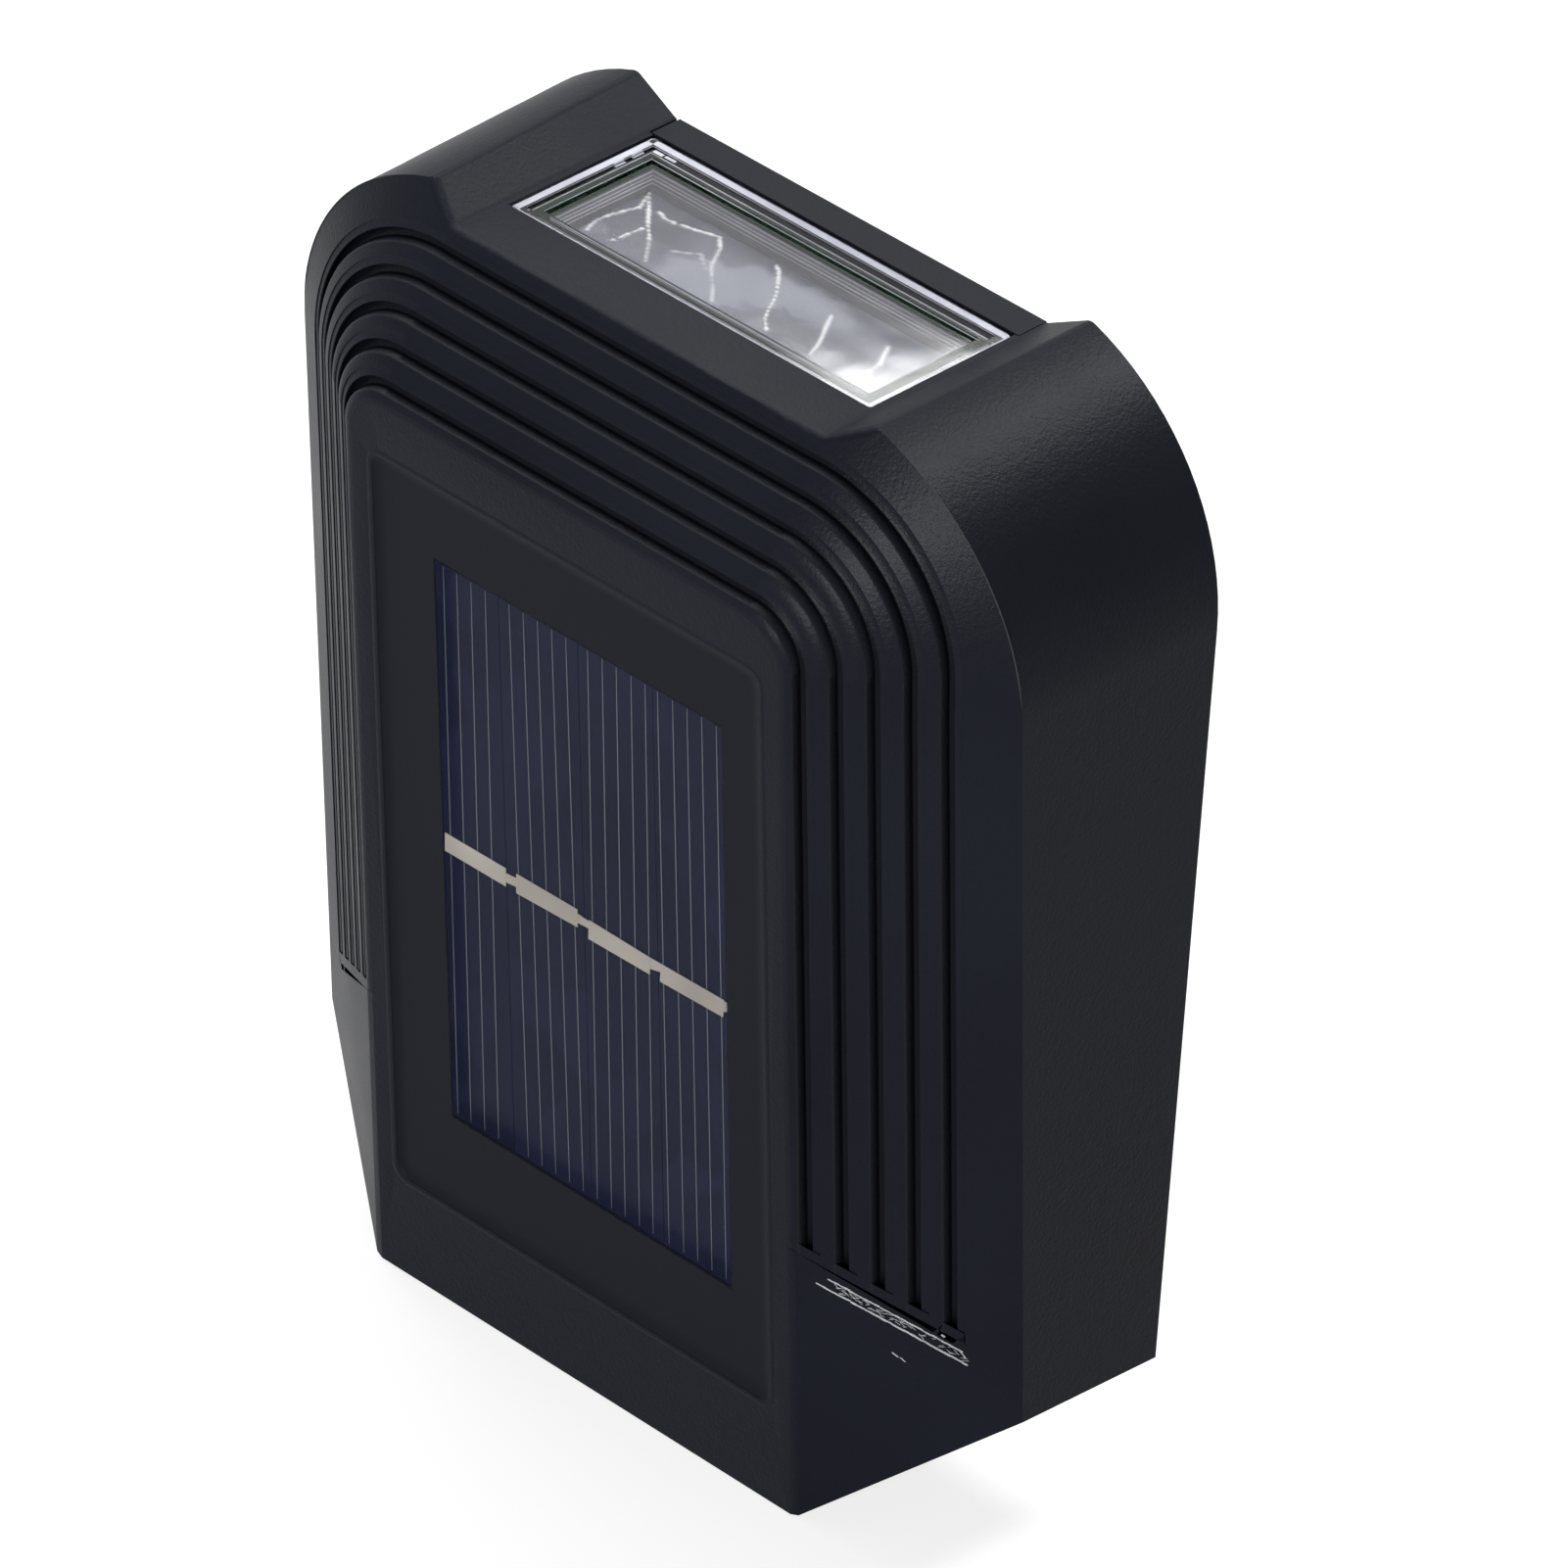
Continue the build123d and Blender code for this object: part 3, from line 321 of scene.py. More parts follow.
def mouldedPlastic(name, look):
    material, tree, shader = newMaterial(name)
    grain = useGrain(tree, look)
    tone = mixColour(tree, mapTo(tree, grain.outputs["Smudge"], 0.0, 1.0), look["dark"], look["light"])
    # painted shade: points marked inside, on the groove floors and walls, take the darker inside colour in place of
    # the shade in the grooves
    if "inside" in look:
        tone = mixColour(tree, attributeNode(tree, "inside"), tone, look["inside"])
        # painted highlight: a lighter colour on the groove lips, standing in for the light their rounded edges
        # catch
        tone = mixColour(tree, attributeNode(tree, "paintedLipHighlight"), tone, look["paintedLipHighlight"])
    if look["dust"] > 0:
        dust = useGroup(tree, dustGroup, Scale=look["dustScale"], Share=look["dust"], Size=look["dustSize"])
        tone = mixColour(tree, dust.outputs["Mask"], tone, look["dustColour"])
    tree.links.new(tone, shader.inputs["Base Color"])
    rough = mapTo(tree, grain.outputs["Smudge"], look["roughLow"], look["roughHigh"])
    tree.links.new(rough, shader.inputs["Roughness"])
    grainBump(tree, grain, shader, look)
    shader.inputs["Specular IOR Level"].default_value = look["specular"]
    return material


housingLook = {
    "dark": (0.0024, 0.0028, 0.0050),
    "light": (0.0035, 0.0041, 0.0070),
    "grainScale": 3000.0,
    "swell": 0.35,
    "grainStrength": 0.55,
    "grainDepth": 0.00008,
    "roughLow": 0.36,
    "roughHigh": 0.46,
    "specular": 0.047,
    "dust": 0.02,
    "dustScale": 170.0,
    "dustSize": 0.05,
    "dustColour": (0.12, 0.12, 0.125),
}
coverLook = {**housingLook, "grainScale": 2600.0, "grainStrength": 0.3, "dust": 0.01}
# inside is a painted shade colour for the groove floors and walls; the lighter colour after it is a painted
# highlight for the groove lips
shellLook = {**housingLook, "inside": (0.0014, 0.0016, 0.0026), "paintedLipHighlight": (0.0050, 0.0055, 0.0075)}
rubberLook = {**housingLook, "dark": (0.02, 0.02, 0.021), "light": (0.028, 0.028, 0.029),
              "grainScale": 5200.0, "grainStrength": 0.2, "roughLow": 0.62, "roughHigh": 0.74, "dust": 0.0}
innerLook = {**housingLook, "dark": (0.02, 0.02, 0.02), "light": (0.03, 0.03, 0.03), "dust": 0.0}
boardLook = {**housingLook, "dark": (0.008, 0.075, 0.03), "light": (0.012, 0.10, 0.04),
             "grainStrength": 0.06, "roughLow": 0.28, "roughHigh": 0.4, "specular": 0.5, "dust": 0.0}
sleeveLook = {**boardLook, "dark": (0.01, 0.10, 0.06), "light": (0.02, 0.13, 0.08)}
ferriteLook = {**innerLook, "dark": (0.03, 0.028, 0.026), "light": (0.05, 0.047, 0.043)}
canLook = {**boardLook, "dark": (0.02, 0.03, 0.12), "light": (0.03, 0.04, 0.15)}
wireLook = {**boardLook, "dark": (0.25, 0.015, 0.012), "light": (0.32, 0.02, 0.015)}
backingLook = {**housingLook, "grainStrength": 0.05, "dust": 0.0}
chipLook = {**boardLook, "dark": (0.75, 0.62, 0.2), "light": (0.85, 0.72, 0.28)}

materials = {
    "housing_plastic": mouldedPlastic("housingPlastic", shellLook),
    "cover_plastic": mouldedPlastic("coverPlastic", coverLook),
    "seal_rubber": mouldedPlastic("sealRubber", rubberLook),
    "button_rubber": mouldedPlastic("buttonRubber", rubberLook),
    "circuit_board": mouldedPlastic("boardLacquer", boardLook),
    "light_chip": mouldedPlastic("chipPhosphor", chipLook),
    "solar_backing": mouldedPlastic("panelBacking", backingLook),
    "foam_tape": mouldedPlastic("foamTape", rubberLook),
    "switch_plastic": mouldedPlastic("switchPlastic", innerLook),
    "chip_epoxy": mouldedPlastic("chipEpoxy", innerLook),
    "inductor_ferrite": mouldedPlastic("inductorFerrite", ferriteLook),
    "capacitor_can": mouldedPlastic("capacitorSleeve", canLook),
    "cell_sleeve": mouldedPlastic("cellSleeve", sleeveLook),
    "holder_plastic": mouldedPlastic("holderPlastic", innerLook),
    "wire_insulation": mouldedPlastic("wireInsulation", wireLook),
}
print("plastic materials built")


def metalSurface(name, look):
    material, tree, shader = newMaterial(name)
    grain = useGrain(tree, look)
    tone = mixColour(tree, mapTo(tree, grain.outputs["Smudge"], 0.0, 1.0), look["dark"], look["light"])
    tree.links.new(tone, shader.inputs["Base Color"])
    tree.links.new(mapTo(tree, grain.outputs["Smudge"], look["roughLow"], look["roughHigh"]),
                   shader.inputs["Roughness"])
    grainBump(tree, grain, shader, look)
    shader.inputs["Metallic"].default_value = look["metallic"]
    return material


screwLook = {"dark": (0.42, 0.42, 0.43), "light": (0.55, 0.55, 0.56), "grainScale": 2400.0, "swell": 1.0,
             "grainStrength": 0.15, "grainDepth": 0.00003, "roughLow": 0.3, "roughHigh": 0.42, "metallic": 1.0}
ribbonLook = {**screwLook, "dark": (0.11, 0.102, 0.088), "light": (0.26, 0.242, 0.212), "grainStrength": 0.35,
              "roughLow": 0.45, "roughHigh": 0.6, "metallic": 0.15}
contactLook = {**screwLook, "dark": (0.52, 0.50, 0.45), "light": (0.62, 0.60, 0.54)}
filmLook = {**screwLook, "dark": (0.80, 0.82, 0.84), "light": (0.92, 0.93, 0.95), "roughLow": 0.2,
            "roughHigh": 0.32, "metallic": 0.5}
materials["screw_steel"] = metalSurface("screwSteel", screwLook)
materials["tinned_ribbon"] = metalSurface("tinnedRibbon", ribbonLook)
materials["contact_metal"] = metalSurface("contactNickel", contactLook)
materials["reflector_film"] = metalSurface("reflectorFilm", filmLook)

cellLook = {"dark": (0.0034, 0.0044, 0.0115), "light": (0.0048, 0.0062, 0.0160), "roughness": 0.42,
            "specular": 0.06, "patchScale": 170.0}


def siliconCell(name, look):
    material, tree, shader = newMaterial(name)
    patches = tree.nodes.new("ShaderNodeTexVoronoi")
    tree.links.new(objectCoords(tree), patches.inputs["Vector"])
    patches.inputs["Scale"].default_value = look["patchScale"]
    split = tree.nodes.new("ShaderNodeSeparateColor")
    tree.links.new(patches.outputs["Color"], split.inputs[0])
    tone = mixColour(tree, split.outputs[0], look["dark"], look["light"])
    tree.links.new(tone, shader.inputs["Base Color"])
    shader.inputs["Roughness"].default_value = look["roughness"]
    shader.inputs["Specular IOR Level"].default_value = look["specular"]
    return material


materials["solar_cell"] = siliconCell("cellSilicon", cellLook)

lensLook = {"roughness": 0.03, "ior": 1.46, "tint": (0.975, 0.975, 0.99), "swirlScale": 90.0,
            "swirlStrength": 0.08, "swirlDepth": 0.0002}


def clearMoulding(name, look):
    material, tree, shader = newMaterial(name)
    shader.inputs["Base Color"].default_value = (*look["tint"], 1.0)
    shader.inputs["Roughness"].default_value = look["roughness"]
    shader.inputs["IOR"].default_value = look["ior"]
    shader.inputs["Transmission Weight"].default_value = 1.0
    swirl = noiseNode(tree, objectCoords(tree), look["swirlScale"])
    swirlBump = bumpFrom(tree, swirl, look["swirlStrength"], look["swirlDepth"])
    tree.links.new(swirlBump, shader.inputs["Normal"])
    return material


materials["lens_clear"] = clearMoulding("clearLens", lensLook)

skinLook = {"haze": 0.12, "dark": (0.0028, 0.0032, 0.0052), "roughness": 0.5, "specular": 0.045,
            "grainScale": 4200.0, "swell": 0.3, "grainStrength": 0.1, "grainDepth": 0.00005}


def resinSkin(name, look):
    material, tree, shader = newMaterial(name)
    grain = useGrain(tree, look)
    shader.inputs["Base Color"].default_value = (*look["dark"], 1.0)
    shader.inputs["Roughness"].default_value = look["roughness"]
    shader.inputs["Specular IOR Level"].default_value = look["specular"]
    alpha = mapTo(tree, attributeNode(tree, "clear"), 1.0, look["haze"], 0.0, 1.0)
    tree.links.new(alpha, shader.inputs["Alpha"])
    grainBump(tree, grain, shader, look)
    return material


materials["panel_skin"] = resinSkin("panelSkin", skinLook)
print("clear materials built")

slotOfNode = {row["node"]: row["material_slot"] for row in frame["record"]["subparts"]}
for nodeName, node in frame["nodes"].items():
    node.data.materials.clear()
    node.data.materials.append(materials[slotOfNode[nodeName]])
print("CAD nodes dressed")

surroundSizes = {
    "faceHalf": 23.7, "faceTop": 87.7, "faceCorner": 4.0,
    "halfGrow": 15.3, "topGrow": 14.9, "cornerGrow": 17.3, "depth": 10.2,
}
grooveSizes = {
    "count": 5, "pitch": 2.38, "width": 0.76, "deep": 0.95, "tread": 0.67, "treadStep": 0.12,
    "startInside": 0.5, "firstWall": 25.0,
    "end": 28.5,  # the grooves stop on a 45 degree plane this far up the face
    "foot": 27.5,
    "softRim": 0.09,
    "rimRise": ((0.22, 0.018), (0.42, 0.05), (0.52, 0.06), (0.65, 0.045), (0.8, 0.01)),  # beside the face's edge
    "rimReach": 0.9,
    "skirt": 0.6,
    # insideFrom is how deep a point must lie behind the surround to get the painted groove shade; the three after
    # it place the painted highlight strip on each groove's lip
    "insideFrom": 0.3, "lipHighlightTo": 0.16, "lipHighlightWidth": 0.14, "lipHighlightLead": 0.11,
    "legRows": 12, "arcRows": 30, "topRows": 4,
}
faceSlope = surroundSizes["depth"] / surroundSizes["halfGrow"]
arcAcross = surroundSizes["faceHalf"] - surroundSizes["faceCorner"]
arcUp = surroundSizes["faceTop"] - surroundSizes["faceCorner"]
bandInner = surroundSizes["faceHalf"] - grooveSizes["startInside"]
bandOuter = (grooveSizes["firstWall"] + (grooveSizes["count"] - 1) * grooveSizes["pitch"]
             + grooveSizes["tread"])


def surroundDepth(x, up):  # how far the sloping surround lies behind the face at a point
    size = surroundSizes
    side = (abs(x) - size["faceHalf"]) / size["halfGrow"]
    top = (up - size["faceTop"]) / size["topGrow"]
    a = abs(x) - arcAcross
    b = up - arcUp
    shiftX = size["cornerGrow"] - size["halfGrow"]
    shiftUp = size["cornerGrow"] - size["topGrow"]
    if b + shiftUp * side < 0:
        t = side
    elif a + shiftX * top < 0:
        t = top
    else:
        qa = size["cornerGrow"] ** 2 - shiftX ** 2 - shiftUp ** 2
        qb = 2 * (size["faceCorner"] * size["cornerGrow"] - a * shiftX - b * shiftUp)
        qc = size["faceCorner"] ** 2 - a * a - b * b
        t = (-qb + sqrt(max(qb * qb - 4 * qa * qc, 0.0))) / (2 * qa)
    return max(t, 0.0) * size["depth"]


def ringOut(x, up):  # which ring round the face a point lies on
    if up < arcUp:
        return abs(x)
    if abs(x) < arcAcross:
        return up - arcUp + arcAcross
    return arcAcross + hypot(abs(x) - arcAcross, up - arcUp)


def grooveProfile():  # (ring, depth below the surround) from the face's edge to the last tread
    size = grooveSizes
    soft = size["softRim"]
    points = [(bandInner, size["skirt"]), (bandInner, 0.0)]
    points += [(bandInner + out, down) for out, down in size["rimRise"]]
    for i in range(size["count"]):
        outer = size["firstWall"] + i * size["pitch"]
        inner = outer - size["width"]
        end = outer + size["tread"]
        points += [
            (inner - 1.7 * soft, 0.0), (inner - 0.7 * soft, 0.3 * soft), (inner, 1.3 * soft),
            (inner, size["deep"] - 0.08), (inner + 0.03, size["deep"] - 0.02), (inner + 0.09, size["deep"]),
            (outer - 0.09, size["deep"]), (outer - 0.03, size["deep"] - 0.02), (outer, size["deep"] - 0.08),
            (outer, size["treadStep"] + 1.3 * soft), (outer + 0.7 * soft, size["treadStep"] + 0.3 * soft),
            (outer + 1.7 * soft, size["treadStep"]), (end - 0.09, size["treadStep"]),
            (end - 0.05, size["treadStep"] * 0.75), (end - 0.03, size["treadStep"] * 0.2), (end, 0.0),
        ]
    points.append((bandOuter, size["skirt"]))
    return points


def grooveStations():  # the way round: up one side, over the top and down the other
    size = grooveSizes
    right = [("skirt", 0), ("plain", size["foot"]), ("plain", size["end"]), ("wall", 0)]
    right += [("leg", (i + 0.35) / size["legRows"]) for i in range(size["legRows"])]
    right += [("arc", pi / 2 * i / size["arcRows"]) for i in range(size["arcRows"] + 1)]
    crown = [("crown", 1 - 2 * (i + 1) / (size["topRows"] + 1)) for i in range(size["topRows"])]
    return [(1, *step) for step in right] + [(1, *step) for step in crown] + [(-1, *step) for step in right[::-1]]


profile = grooveProfile()
stations = grooveStations()


def bandPoint(column, row):  # where a point of the band's grid belongs
    ring, below = profile[column]
    side, kind, value = stations[row]
    slope = max(ring - surroundSizes["faceHalf"], 0) * faceSlope
    if kind == "arc":
        reach = ring - arcAcross
        x = side * (arcAcross + reach * cos(value))
        up = arcUp + reach * sin(value)
    elif kind == "crown":
        x = value * arcAcross
        up = ring - arcAcross + arcUp
    else:
        x = side * ring
        low = grooveSizes["end"] - slope + 0.9
        up = {"skirt": grooveSizes["foot"] - slope, "plain": value - slope,
              "wall": grooveSizes["end"] - slope - min(below, 0.75), "leg": low + (arcUp - low) * value}[kind]
    if kind == "skirt":
        below = grooveSizes["skirt"]
    elif kind == "plain" and ring > bandInner + grooveSizes["rimReach"] and column < len(profile) - 1:
        below = 0.0
    return onFace(x, surroundDepth(x, up) + below, up)


def grooveBand():  # the grooved slope, with painted shade marked in its grooves and painted highlights on the groove lips
    size = grooveSizes
    band = pointGrid("groove_band", len(profile), len(stations), bandPoint)
    pick(band)
    editAll()
    bpy.ops.mesh.remove_doubles(threshold=0.004 * mm)
    if band.data.polygons[len(profile) * 12 + 20].normal.y > 0:  # a face of the slope has to look forward
        bpy.ops.mesh.flip_normals()
    bpy.ops.object.mode_set(mode="OBJECT")
    inside = []
    paintedLipHighlight = []
    for vertex in band.data.vertices:
        x, depth, up = toFace(vertex.co)
        behind = depth - surroundDepth(x, up)
        # painted shade for the points deep in the grooves
        inside.append(1.0 if behind > size["insideFrom"] else 0.0)
        # painted highlight: a narrow strip on each groove's lip, near the surround
        lip = (ringOut(x, up) - size["firstWall"] + size["width"] + size["lipHighlightLead"]) % size["pitch"]
        lipLit = behind < size["lipHighlightTo"] and lip < size["lipHighlightWidth"] and depth > size["insideFrom"]
        paintedLipHighlight.append(1.0 if lipLit else 0.0)
    paintPoints(band, "inside", inside)
    paintPoints(band, "paintedLipHighlight", paintedLipHighlight)
    shadeSoftly(band, 42.0)
    return band


shellSizes = {
    "smoothAngle": 24.0, "cutSlack": 0.002, "cutFrom": -0.1, "cutTo": 0.87,
    "slopeSlack": 0.02, "slopeFrom": 0.2, "slopeAgree": 0.97,
    "boxFrom": 0.05, "wallGap": 0.25, "boxAgree": 0.985,
    "boxAcross": 17.7, "boxUp": 23.85, "boxDraft": 0.03,
}
shell = mergedCopy("front_housing", "housing_shell")
pick(shell)
editAll()
bpy.ops.mesh.bisect(plane_co=onFace(0, 0, grooveSizes["foot"]),
                    plane_no=faceFrame.to_3x3() @ Vector((0, 1, 1)), threshold=0.001 * mm)
bpy.ops.mesh.select_mode(type="FACE")
bpy.ops.mesh.select_all(action="DESELECT")
bpy.ops.object.mode_set(mode="OBJECT")
for face in shell.data.polygons:
    x, depth, up = toFace(face.center)
    ring = ringOut(x, up)
    behind = depth - surroundDepth(x, up)
    onBand = bandInner < ring - shellSizes["cutSlack"] < bandOuter and depth + up > grooveSizes["foot"]
    face.select = onBand and shellSizes["cutFrom"] < behind < shellSizes["cutTo"]
bpy.ops.object.mode_set(mode="EDIT")
bpy.ops.mesh.delete(type="FACE")
bpy.ops.object.mode_set(mode="OBJECT")
shadeSoftly(shell, shellSizes["smoothAngle"])


def surroundNormal(x, up):  # square to the sloping surround, from its own formula
    step = 0.01
    rise = (surroundDepth(x, up + step) - surroundDepth(x, up - step)) / (2 * step)
    run = (surroundDepth(x + step, up) - surroundDepth(x - step, up)) / (2 * step)
    return (faceFrame.to_3x3() @ Vector((run, -1, rise))).normalized()


def smoothSlope(obj):  # the slope's own even shading in place of that of its loose triangles
    mesh = obj.data
    normals = [corner.vector.copy() for corner in mesh.corner_normals]
    for face in mesh.polygons:
        x, depth, up = toFace(face.center)
        if abs(depth - surroundDepth(x, up)) > shellSizes["slopeSlack"] or depth < shellSizes["slopeFrom"]:
            continue
        if face.normal.dot(surroundNormal(x, up)) < shellSizes["slopeAgree"]:
            continue
        for corner in face.loop_indices:
            x, depth, up = toFace(mesh.vertices[mesh.loops[corner].vertex_index].co)
            normals[corner] = surroundNormal(x, up)
    mesh.normals_split_custom_set(normals)


def boxNormal(point):  # square to the box behind the crease, from its rounded outline
    x, y, z = point / mm
    across = max(abs(x) - shellSizes["boxAcross"], 0.0)
    rise = max(z - shellSizes["boxUp"], 0.0)
    size = max(hypot(across, rise), 1e-6)
    return Vector((across / size * (1 if x > 0 else -1), -shellSizes["boxDraft"], rise / size)).normalized()


def smoothBox(obj):  # flat sides and round corners shaded as such
    mesh = obj.data
    normals = [corner.vector.copy() for corner in mesh.corner_normals]
    for face in mesh.polygons:
        behindCrease = toFace(face.center)[1] > surroundSizes["depth"] + shellSizes["boxFrom"]
        if not behindCrease or face.center.y > -shellSizes["wallGap"] * mm:
            continue
        if face.normal.dot(boxNormal(face.center)) < shellSizes["boxAgree"]:
            continue
        for corner in face.loop_indices:
            normals[corner] = boxNormal(mesh.vertices[mesh.loops[corner].vertex_index].co)
    mesh.normals_split_custom_set(normals)


smoothSlope(shell)
smoothBox(shell)
finishPiece(shell, materials["housing_plastic"], ["front_housing"])
band = grooveBand()
finishPiece(band, materials["housing_plastic"], ["front_housing"])
print("housing shell done")

beadSizes = {"half": 21.6, "low": 9.5, "high": 82.9, "corner": 1.7, "width": 0.6, "proud": 0.045}


def roundedPlate(name, size):  # a flat plate with round corners, still in edit mode
    deselectAll()
    bpy.ops.mesh.primitive_plane_add(size=1)
    plate = bpy.context.object
    plate.name = name
    plate.data.name = name
    plate.scale = (2 * size["half"] * mm, (size["high"] - size["low"]) * mm, 1)
    applyPlace(plate)
    editAll()
    bpy.ops.mesh.bevel(offset=size["corner"] * mm, segments=8, affect="VERTICES")
    return plate


def standOnFace(plate, size):
    middle = Matrix.Translation(Vector((0, 0, (size["high"] + size["low"]) / 2 * mm)))
    plate.data.transform(faceFrame @ middle @ Matrix.Rotation(radians(90), 4, "X"))


def pocketBead():  # soft raised line round the panel's pocket
    size = beadSizes
    bead = roundedPlate("pocket_bead", size)
    for share, lift in ((0.2, 0.6), (0.3, 0.4), (0.3, -0.4), (0.2, -0.6)):
        bpy.ops.mesh.inset(thickness=size["width"] * share * mm, depth=0)
        bpy.ops.transform.translate(value=(0, 0, size["proud"] * lift * mm))
    bpy.ops.mesh.delete(type="FACE")
    bpy.ops.object.mode_set(mode="OBJECT")
    standOnFace(bead, size)
    shadeSoftly(bead, 50.0)
    return bead


bead = pocketBead()
finishPiece(bead, materials["housing_plastic"])
print("pocket bead done")

# painted highlight: the crease line is coloured far lighter than the housing, standing in for the light its rounded
# edge catches
creaseHighlightLook = {**housingLook, "dark": (0.016, 0.0165, 0.019), "light": (0.027, 0.028, 0.031), "dust": 0.0}
creaseSizes = {"across": 17.7, "up": 81.3, "reach": 21.3, "depth": 10.2, "thick": 0.055,
               "from": 4.0, "to": 68.0, "steps": 60}
materials["crease_line"] = mouldedPlastic("creaseHighlightPaint", creaseHighlightLook)


def creaseHighlightLine(side):  # thin line along the rounded crease, fading at both ends; its light colour is a painted highlight
    size = creaseSizes
    deselectAll()
    bpy.ops.mesh.primitive_circle_add(vertices=8, radius=size["thick"] * mm)
    line = bpy.context.object
    line.location = (size["reach"] * mm, 0, 0)
    line.rotation_euler = (radians(90), 0, 0)
    applyPlace(line)
    editAll()
    bpy.ops.mesh.spin(steps=size["steps"], angle=radians(size["to"] - size["from"]), center=(0, 0, 0),
                      axis=(0, 0, 1))
    bpy.ops.mesh.select_all(action="SELECT")
    bpy.ops.mesh.normals_make_consistent(inside=False)
    bpy.ops.object.mode_set(mode="OBJECT")
    for vertex in line.data.vertices:
        x, y, z = vertex.co / mm
        turn = abs(atan2(y, x))
        share = min(max(turn / radians(size["to"] - size["from"]), 0.0), 1.0)
        slim = min(1.0, 6 * (1 - share) + 0.02, 10 * share + 0.02)
        out = hypot(x, y)
        reach = size["reach"] + (out - size["reach"]) * slim
        angle = radians(size["from"]) + turn
        vertex.co = onFace(side * (size["across"] + reach * cos(angle)), size["depth"] + z * slim,
                           size["up"] + reach * sin(angle))
    shadeSoftly(line, 60.0)
    return line


creases = joinAll([creaseHighlightLine(1), creaseHighlightLine(-1)], "crease_lines")
finishPiece(creases, materials["crease_line"])
print("crease lines done")

scuffLook = {**housingLook, "dark": (0.09, 0.09, 0.094), "light": (0.26, 0.26, 0.265), "grainScale": 1500.0,
             "grainStrength": 0.8, "roughLow": 0.5, "roughHigh": 0.7, "dust": 0.0}
materials["scuff"] = mouldedPlastic("scuffedPlastic", scuffLook)
scuffSizes = {"from": 25.3, "to": 35.3, "low": 25.5, "high": 26.55, "lowWidth": 0.17, "highWidth": 0.14,
              "pieces": 26, "hatches": 54, "hatchWidth": 0.045, "hatchThick": 0.015,
              "closing": ((34.8, 26.55), (35.25, 26.05), 0.1),
              "nicks": (((33.6, 27.15), (33.85, 27.1), 0.2), ((30.3, 22.6), (30.75, 22.45), 0.12, 0.015),
                        ((30.85, 22.55), (31.2, 22.35), 0.09, 0.015))}
random.seed(7)


def scuffMark(start, end, width, thick=0.025):  # one raised sliver on the slope beside the face
    mark = startCube()
    ends = []
    for x, level in (start, end):
        depth = (x - surroundSizes["faceHalf"]) * faceSlope
        ends.append(onFace(x, depth, level - depth))
    along = (ends[1] - ends[0]).normalized()
    outward = (faceFrame.to_3x3() @ Vector((surroundSizes["depth"], -surroundSizes["halfGrow"], 0))).normalized()
    across = outward.cross(along)
    softenEdges(0.25)
    turn = Matrix((along, across, outward)).transposed().to_4x4()
    size = Matrix.Diagonal(((ends[1] - ends[0]).length, width * mm, thick * mm, 1))
    mark.data.transform(Matrix.Translation((ends[0] + ends[1]) / 2) @ turn @ size)
    return mark


def scuffLine(level, fromX, toX, width):
    marks = []
    count = scuffSizes["pieces"]
    step = (toX - fromX) / count
    for i in range(count):
        a = fromX + i * step
        wobble = random.uniform(-0.025, 0.025)
        stretch = step * random.uniform(1.0, 1.5)
        marks.append(scuffMark((a, level + wobble), (a + stretch, level + wobble + random.uniform(-0.03, 0.03)),
                               width * random.uniform(0.75, 1.25)))
    return marks


def scuffs():
    size = scuffSizes
    marks = scuffLine(size["low"], size["from"], size["to"], size["lowWidth"])
    marks += scuffLine(size["high"], size["from"] + 0.8, size["to"] - 0.35, size["highWidth"])
    for i in range(size["hatches"]):
        x = random.uniform(size["from"] + 1.2, size["to"] - 0.3)
        level = random.uniform(size["low"] + 0.15, size["high"] - 0.25)
        lean = random.choice((-0.35, 0.3, 0.5))
        end = (x + lean, level + random.uniform(0.1, 0.35))
        marks.append(scuffMark((x, level), end, size["hatchWidth"], size["hatchThick"]))
    marks += [scuffMark(*row) for row in (size["closing"], *size["nicks"])]
    return joinAll(marks, "scuff_marks")


finishPiece(scuffs(), materials["scuff"])
print("scuff marks done")

plateSizes = {
    "half": 21.12, "low": 9.98, "high": 82.42, "corner": 1.55, "sink": 0.3,
    "rim": ((0.0, -0.004), (0.12, 0.05), (0.28, 0.14), (0.45, 0.21), (0.65, 0.26), (0.9, 0.29), (1.2, 0.3)),
    "window": (-14.5, 16.6, 19.5, 74.95),
    "windowSoft": 0.25,
}


